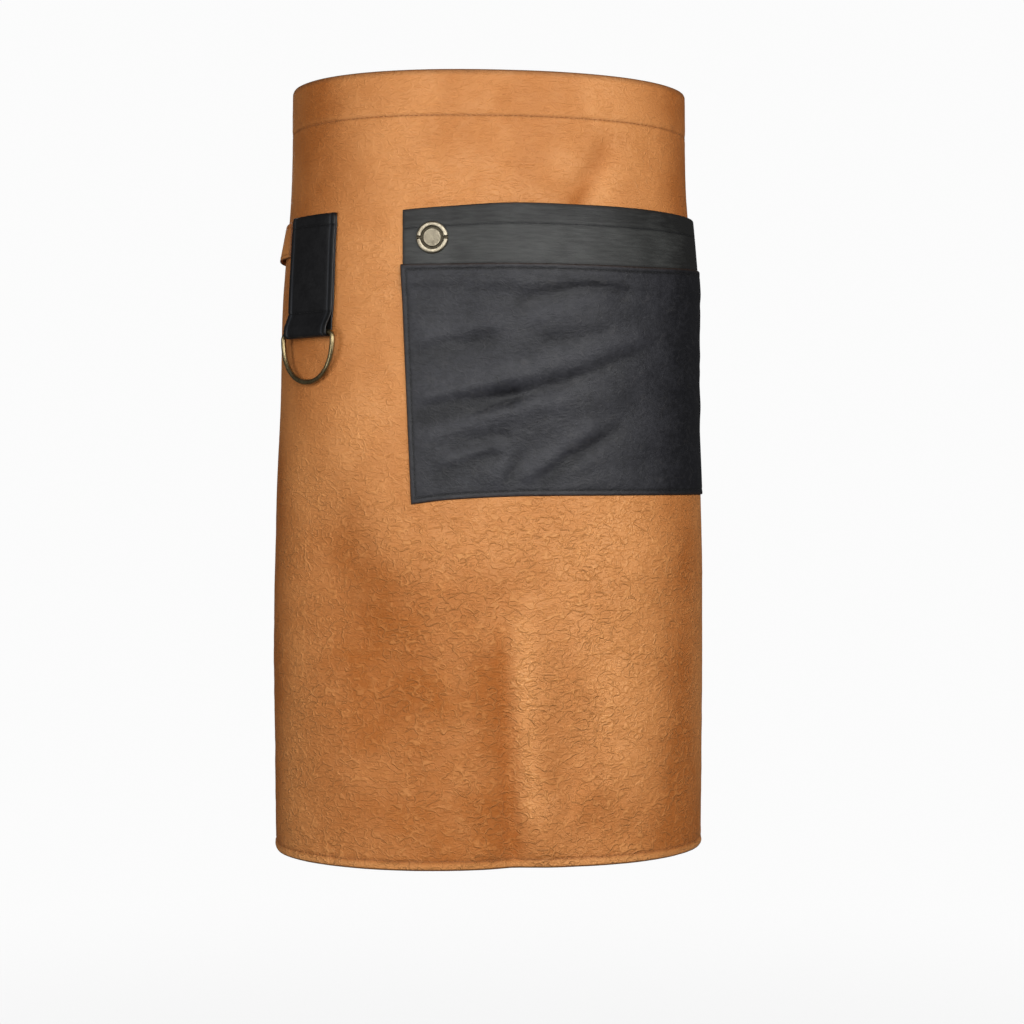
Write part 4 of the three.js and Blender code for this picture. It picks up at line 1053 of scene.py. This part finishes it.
def make_pocket_stud():
    back = -PANEL_WALL - STUD_GAP
    base = band_out(STUD_ACROSS, STUD_Z) + POCKET_WALL + STUD_GAP
    foot = base + STUD_FOOT
    radii = np.array([
        STUD_RADIUS, STUD_RADIUS - 0.1, STUD_RADIUS - 0.35, STUD_RADIUS - 0.8, 11.2, 10.4, 9.9, 9.5, 9.1,
        8.8, 8.4, 7.7, STUD_DISC_RADIUS, 7.05, 6.8, 6.2, 5, 3.6, 2.2, 1.0,
    ])
    turn = np.arange(STUD_SIDES) * 2 * np.pi / STUD_SIDES
    edge_round = 0.75 * np.clip(1 - (STUD_RADIUS - radii) / 0.8, 0, 1) ** 2
    lower = [
        (STUD_DISC_RADIUS - 0.5, back - 1), (STUD_DISC_RADIUS, back - 0.5), (STUD_DISC_RADIUS, back),
        (STUD_POST, back), (STUD_POST, base), (STUD_RADIUS - 0.5, base), (STUD_RADIUS, base + 0.3),
    ]
    rings = [[(r * np.cos(a), r * np.sin(a), h) for a in turn] for r, h in lower]
    tarnish = [0.5] * (1 + len(lower) * STUD_SIDES)
    for r, rounding in zip(radii, edge_round):
        face = stud_face(r, turn)
        height = foot + np.maximum(face - rounding, 0.02)
        rings.append(list(zip(r * np.cos(turn), r * np.sin(turn), height)))
        on_disc = 0.5 if r < STUD_DISC_RADIUS - 0.6 else 0
        tarnish += list(np.maximum(on_disc, 1 - smoothstep(face, 0.15, 0.9)))
    tarnish.append(0.5)
    points = [(0, 0, back - 1)] + [p for ring in rings for p in ring] + [(0, 0, foot + STUD_DISC - 0.12)]
    faces = []
    for k in range(STUD_SIDES):
        n = (k + 1) % STUD_SIDES
        faces.append((0, 1 + n, 1 + k))
        for j in range(len(rings) - 1):
            low, high = 1 + j * STUD_SIDES, 1 + (j + 1) * STUD_SIDES
            faces.append((low + k, low + n, high + n, high + k))
        last = 1 + (len(rings) - 1) * STUD_SIDES
        faces.append((last + k, last + n, len(points) - 1))
    points = np.array(points)
    shape = Shape(points, faces, points[:, :2], tarnish=np.array(tarnish))
    shape = placed(shape, seat(STUD_ACROSS, STUD_Z, 0))
    return make_piece("pocket_stud_metal", shape, [STUD_PLATE], node="pocket_stud", sharp=50)


# Waist straps
STRAP_STEP = 3
STRAP_STITCH_INSET = 3.5


def strap_out(round_it, z, start, lap):
    """How far a strap's inner face stands off, by the distance round and the height."""
    lift = BACK_MIDDLE - STRAP_OVERLAP - STRAP_LAP_STEP
    lapped = smoothstep(round_it, lift - STRAP_OVERLAP, lift)
    loose = smoothstep(round_it, start, start + STRAP_WIDTH) * (1 - lapped)
    lean = STRAP_LEAN * loose * (0.5 - z / STRAP_WIDTH)
    return SEAM_GAP + lean + lap * lapped * (STRAP_WALL + SEAM_GAP)


def strap_relief(round_it, z, start):
    side = STRAP_WIDTH / 2 - np.abs(z)
    return -groove(side - STRAP_STITCH_INSET, 0.22, 0.8) - groove(round_it - start - 4, 0.25, 0.8)


def make_strap(name, sign, start, lap):
    inset = STRAP_WALL / 2
    end = BACK_MIDDLE + STRAP_OVERLAP
    round_it = graded(start + inset, end - inset, STRAP_STEP, (start + 4,))
    if sign < 0:
        round_it = round_it[::-1]
    side = STRAP_WIDTH / 2 - STRAP_STITCH_INSET
    heights = graded(-STRAP_WIDTH / 2 + inset, STRAP_WIDTH / 2 - inset, STRAP_STEP, (-side, side))
    c, z = np.meshgrid(round_it, heights)
    base = strap_out(c, z, start, lap)
    relief = strap_relief(c, z, start)
    seam = np.clip(-relief * 3, 0, 1)
    shape = sheet(
        wrap(c * sign, z, base + STRAP_WALL + relief), wrap(c * sign, z, base),
        np.stack([c * sign, z], axis=-1), seam=seam,
    )
    return make_piece(name + "_leather", shape, [STRAP_TAN, FLESH], node=name)


def seam_on_strap(sign, start, lap, round_it, z):
    round_it, z = np.broadcast_arrays(np.asarray(round_it, float), np.asarray(z, float))
    out = strap_out(round_it, z, start, lap) + STRAP_WALL + strap_relief(round_it, z, start) + 0.1
    return wrap(round_it * sign, z, out), outwards(round_it * sign, z)


def make_strap_stitches():
    seams = []
    side = STRAP_WIDTH / 2 - STRAP_STITCH_INSET
    for sign, start, lap in ((-1, LEFT_STRAP_START, 1), (1, RIGHT_STRAP_START, 0)):
        end = BACK_MIDDLE + STRAP_OVERLAP * sign * -1 - STRAP_STITCH_INSET
        long = np.linspace(start + 4, end, 160)
        seams += [seam_on_strap(sign, start, lap, long, z) for z in (-side, side)]
        seams.append(seam_on_strap(sign, start, lap, start + 4, np.linspace(-side, side, 20)))
    return make_stitches("strap_stitches", seams, TAN_THREAD, 3.8, 3.0, 0.6)


def make_strap_stud():
    back = SEAM_GAP - STUD_GAP
    base = 2 * (SEAM_GAP + STRAP_WALL) + STUD_GAP
    r, cap = STRAP_STUD_RADIUS, STRAP_STUD_CAP
    profile = [
        (0, back - cap), (r - 0.4, back - cap), (r, back - cap + 0.4), (r, back), (STRAP_STUD_POST, back),
        (STRAP_STUD_POST, base), (r - 0.3, base), (r, base + 0.3), (r, base + 0.6), (r - 0.3, base + 1.1),
        (r - 1, base + 1.45), (r - 2.5, base + 1.7), (r / 3, base + cap), (0, base + cap),
    ]
    shape = placed(turned(profile, 48), seat(BACK_MIDDLE, 0, 0))
    return make_piece("strap_stud_metal", shape, [RING_BRASS], node="strap_stud", sharp=40)


# Hanger: a strip sewn to the panel, folded round the ring's bar and brought back up in front
BAR_RADIUS = RING_WIRE / 2
LOOP_RADIUS = BAR_RADIUS + BAR_GAP + HANGER_WALL / 2
BAR_Z = HANGER_TOP_Z - HANGER_LENGTH + LOOP_RADIUS + HANGER_WALL / 2
BACK_OUT = SEAM_GAP + HANGER_WALL / 2
BAR_OUT = BACK_OUT + LOOP_RADIUS
FRONT_LAYER_OUT = BACK_OUT + HANGER_WALL + SEAM_GAP
HANGER_CREASE_INSET = 5
HANGER_TOP_SEAM_Z = HANGER_TOP_Z - 9.2
HANGER_LOW_SEAM_Z = BAR_Z + HANGER_SEAM


def on_hanger(right, z, out):
    """Places on the hanger, which follows the body at its top and lies flat along the ring's bar."""
    right, z, out = np.broadcast_arrays(*(np.asarray(v, float) for v in (right, z, out)))
    flat = read(HANGER_SHAPE, "down", (HANGER_TOP_Z - z) / HANGER_LENGTH, "flat")[..., None]
    away = outwards(HANGER_ACROSS, BAR_Z)
    along = np.array([-away[1], away[0], 0])
    level = wrap(HANGER_ACROSS, z, out) + right[..., None] * along
    return wrap(HANGER_ACROSS + right, z, out) * (1 - flat) + level * flat


def hanger_line(step=3):
    """The strip's middle line: height and distance out, from the back layer's top, round the bar
    and up to the front layer's top."""
    layer = graded(HANGER_LOW_SEAM_Z, HANGER_TOP_Z - HANGER_WALL / 2, step, (HANGER_LOW_SEAM_Z, HANGER_TOP_SEAM_Z))
    line = [(z, BACK_OUT) for z in layer[::-1]] + [(z, BACK_OUT) for z in (BAR_Z + 12, BAR_Z + 8, BAR_Z + 4)]
    for angle in np.linspace(0, np.pi, 21):
        line.append((BAR_Z - LOOP_RADIUS * np.sin(angle), BAR_OUT - LOOP_RADIUS * np.cos(angle)))
    for z in np.linspace(BAR_Z, HANGER_LOW_SEAM_Z, 9)[1:-1]:
        closed = smoothstep(z, BAR_Z + BAR_RADIUS, HANGER_LOW_SEAM_Z)
        line.append((z, BAR_OUT + LOOP_RADIUS + closed * (FRONT_LAYER_OUT - BAR_OUT - LOOP_RADIUS)))
    line += [(z, FRONT_LAYER_OUT) for z in layer]
    return np.array(line, float)


def hanger_width(z):
    return HANGER_WIDTH * read(HANGER_SHAPE, "down", (HANGER_TOP_Z - z) / HANGER_LENGTH, "width")


def make_hanger():
    line = hanger_line()
    ahead = np.vstack([line[1:], line[-1:]]) - np.vstack([line[:1], line[:-1]])
    ahead /= np.linalg.norm(ahead, axis=1, keepdims=True)
    off_z, off_out = ahead[:, 1], -ahead[:, 0]
    inset = HANGER_WALL / 2
    crease = HANGER_WIDTH / 2 - HANGER_CREASE_INSET
    columns = graded(-HANGER_WIDTH / 2 + inset, HANGER_WIDTH / 2 - inset, 3, (-crease, crease), (0.7, 1.6))
    c, k = np.meshgrid(columns, np.arange(len(line)))
    z, out = line[k, 0], line[k, 1]
    across = c * hanger_width(z) / HANGER_WIDTH
    front = (np.arange(len(line)) > len(line) // 2)[k]
    pressed = groove(np.abs(c) - crease, 0.4, 0.8) - groove(np.abs(c) - crease - 2, 0.3, 1.2)
    seams = groove(z - HANGER_TOP_SEAM_Z, 0.4, 0.9) + groove(z - HANGER_LOW_SEAM_Z, 0.5, 0.9)
    relief = front * (pressed + seams)
    flat = np.concatenate([[0], np.cumsum(np.linalg.norm(np.diff(line, axis=0), axis=1))])[k]

    def face(side):
        half = HANGER_WALL / 2 - (relief if side > 0 else 0)
        return on_hanger(across, z - side * half * off_z[k], out - side * half * off_out[k])

    seam = np.clip(front * seams * 2.4, 0, 1)
    # Painted highlight along the front layer's pressed lines.
    rubbed = front * groove(np.abs(c) - crease, 1, 1.0)
    shape = sheet(face(1), face(-1), np.stack([c, flat], axis=-1), seam=seam, rubbed=rubbed)
    return make_piece("hanger_leather", shape, [HANGER_BLACK], node="hanger_strap")


def make_hanger_stitches():
    reach = HANGER_WIDTH / 2 - HANGER_CREASE_INSET - 1
    seams = []
    for z in (HANGER_TOP_SEAM_Z, HANGER_LOW_SEAM_Z):
        right = np.linspace(-reach, reach, 60)
        points = on_hanger(right, z, FRONT_LAYER_OUT + HANGER_WALL / 2 - 0.2)
        seams.append((points, outwards(HANGER_ACROSS + right, z)))
    return make_stitches("hanger_stitches", seams, BLACK_THREAD, 3.2, 2.5, 0.6)


def ring_path():
    """The ring's wire in its own plane: a bar along X, two rounded corners and a bow below."""
    half = HANGER_WIDTH * HANGER_SHAPE[-1]["width"] / 2 + RING_SIDE + BAR_RADIUS
    corner = RING_SIDE + BAR_RADIUS
    bow = RING_HEIGHT - RING_WIRE - corner
    roundness = 0.92
    turn = np.linspace(0, np.pi / 2, 9)[1:-1]
    path = [(x, 0) for x in np.linspace(-half + corner, half - corner, 25)]
    path += [(half - corner + corner * np.sin(a), -corner + corner * np.cos(a)) for a in turn]
    for a in np.linspace(0, np.pi, 73):
        level = np.sign(np.cos(a)) * np.abs(np.cos(a)) ** roundness
        path.append((half * level, -corner - bow * np.sin(a) ** roundness))
    path += [(-half + corner - corner * np.cos(a), -corner + corner * np.sin(a)) for a in turn]
    return np.array(path)


def make_ring():
    path = ring_path()
    ahead = np.roll(path, -1, axis=0) - np.roll(path, 1, axis=0)
    ahead /= np.linalg.norm(ahead, axis=1, keepdims=True)
    sides = 24
    points = []
    for (x, z), (dx, dz) in zip(path, ahead):
        for angle in np.arange(sides) * 2 * np.pi / sides:
            level, out = BAR_RADIUS * math.cos(angle), BAR_RADIUS * math.sin(angle)
            points.append((x - level * dz, z + level * dx, out))
    count = len(path)
    faces = []
    for i in range(count):
        here, there = i * sides, ((i + 1) % count) * sides
        for k in range(sides):
            n = (k + 1) % sides
            faces.append((here + k, here + n, there + n, there + k))
    points = np.array(points)
    shape = placed(Shape(points, faces, points[:, :2]), seat(HANGER_ACROSS, BAR_Z, BAR_OUT))
    return make_piece("d_ring_brass", shape, [RING_BRASS], body="ring", node="d_ring")


# Studio
FLOOR_Z = -1.05
ROOM = 9.0
CAMERA_TURN = -8
CAMERA_DISTANCE = 1.7
CAMERA_Z = -0.196
FOCAL_PIXELS = 1974.4
IMAGE = 1024
AXIS_COLUMN = 489.5
HORIZON_ROW = 475


def make_camera():
    """Level, a little to the left of the apron's front."""
    data = bpy.data.cameras.new("camera")
    data.sensor_width = 36
    data.lens = FOCAL_PIXELS / IMAGE * data.sensor_width
    data.shift_x = (IMAGE / 2 - AXIS_COLUMN) / IMAGE
    data.shift_y = (HORIZON_ROW - IMAGE / 2) / IMAGE
    camera = bpy.data.objects.new("camera", data)
    bpy.context.scene.collection.objects.link(camera)
    turn = math.radians(CAMERA_TURN)
    camera.location = (CAMERA_DISTANCE * math.sin(turn), -CAMERA_DISTANCE * math.cos(turn), CAMERA_Z)
    camera.rotation_euler = (math.pi / 2, 0, turn)
    bpy.context.scene.camera = camera


def make_light(name, azimuth, elevation, distance, size, power):
    """A soft square light aimed at the apron's middle."""
    data = bpy.data.lights.new(name, "AREA")
    data.shape, data.size, data.size_y = "RECTANGLE", *size
    data.energy = power
    light = bpy.data.objects.new(name, data)
    light.visible_camera = False
    bpy.context.scene.collection.objects.link(light)
    a, e = math.radians(azimuth), math.radians(elevation)
    back = Vector((math.sin(a) * math.cos(e), -math.cos(a) * math.cos(e), math.sin(e)))
    light.location = Vector((0, 0, -0.19)) + back * distance
    light.rotation_euler = back.to_track_quat("Z", "Y").to_euler()


def make_room():
    """A pale floor that fades into a pale round room. The room is seen, but lights nothing."""
    room_mesh = bpy.data.meshes.new("room")
    floor_mesh = bpy.data.meshes.new("floor")
    around = np.linspace(0, 2 * np.pi, 97)[:-1]
    rises = np.linspace(-np.pi / 2, np.pi / 2, 33)
    points = [(math.cos(e) * math.cos(a) * ROOM, math.cos(e) * math.sin(a) * ROOM, math.sin(e) * ROOM) for e in rises for a in around]
    faces = []
    for j in range(len(rises) - 1):
        for k in range(96):
            n = (k + 1) % 96
            faces.append((j * 96 + k, (j + 1) * 96 + k, (j + 1) * 96 + n, j * 96 + n))
    room_mesh.from_pydata(points, [], faces)
    disc = [(math.cos(a) * ROOM * 0.8, math.sin(a) * ROOM * 0.8, FLOOR_Z) for a in around]
    floor_mesh.from_pydata(disc, [], [tuple(range(96))])
    pale = bpy.data.materials.new("pale_room")
    pale.use_nodes = True
    tree = pale.node_tree
    tree.nodes.clear()
    glow = add(tree, "ShaderNodeEmission", {"Color": (1, 1, 1, 1), "Strength": 0.97})
    add(tree, "ShaderNodeOutputMaterial", {"Surface": glow.outputs[0]})
    ground = bpy.data.materials.new("pale_floor")
    ground.use_nodes = True
    tree = ground.node_tree
    tree.nodes.clear()
    place = add(tree, "ShaderNodeTexCoord").outputs["Object"]
    level = add(tree, "ShaderNodeVectorMath", {0: place, 1: (1, 1, 0)}, operation="MULTIPLY")
    far = add(tree, "ShaderNodeVectorMath", {0: level.outputs[0]}, operation="LENGTH").outputs["Value"]
    fading = spread(tree, far, 0.5, 2.4)
    matt = add(tree, "ShaderNodeBsdfDiffuse", {"Color": (0.25, 0.25, 0.25, 1)})
    lit = add(tree, "ShaderNodeEmission", {"Color": (1, 1, 1, 1), "Strength": 0.75})
    plain = add(tree, "ShaderNodeAddShader", {0: matt.outputs[0], 1: lit.outputs[0]})
    clear = add(tree, "ShaderNodeBsdfTransparent")
    mixed = add(tree, "ShaderNodeMixShader", {0: fading, 1: plain.outputs[0], 2: clear.outputs[0]})
    add(tree, "ShaderNodeOutputMaterial", {"Surface": mixed.outputs[0]})
    room = bpy.data.objects.new("room", room_mesh)
    floor = bpy.data.objects.new("floor", floor_mesh)
    room_mesh.materials.append(pale)
    floor_mesh.materials.append(ground)
    for obj in (room, floor):
        bpy.context.scene.collection.objects.link(obj)
        obj.visible_diffuse = False
        obj.visible_glossy = False
    room.visible_shadow = False


def make_studio():
    make_room()
    make_light("key", 5, 15, 2.4, (3.4, 1.2), 60)
    make_light("left_fill", -55, -4, 2.4, (0.8, 1.4), 13)
    make_light("right_fill", 44, 6, 2.4, (0.8, 1.4), 7)
    make_light("back_fill", 176, 30, 2.6, (1.6, 1.6), 26)
    world = bpy.data.worlds.new("soft_room_light")
    bpy.context.scene.world = world
    world.use_nodes = True
    world.node_tree.nodes["Background"].inputs["Color"].default_value = (1, 1, 1, 1)
    world.node_tree.nodes["Background"].inputs["Strength"].default_value = 0.07
    bpy.context.scene.view_settings.view_transform = "Standard"


make_camera()
make_studio()
panel = make_panel()
hem_stitches = make_panel_stitches()
front = make_front()
band = make_band()
make_pocket_stitches()
make_pocket_stud()
make_hanger()
make_hanger_stitches()
make_ring()
make_strap("waist_strap_left", -1, LEFT_STRAP_START, 1)
make_strap("waist_strap_right", 1, RIGHT_STRAP_START, 0)
make_strap_stitches()
make_strap_stud()
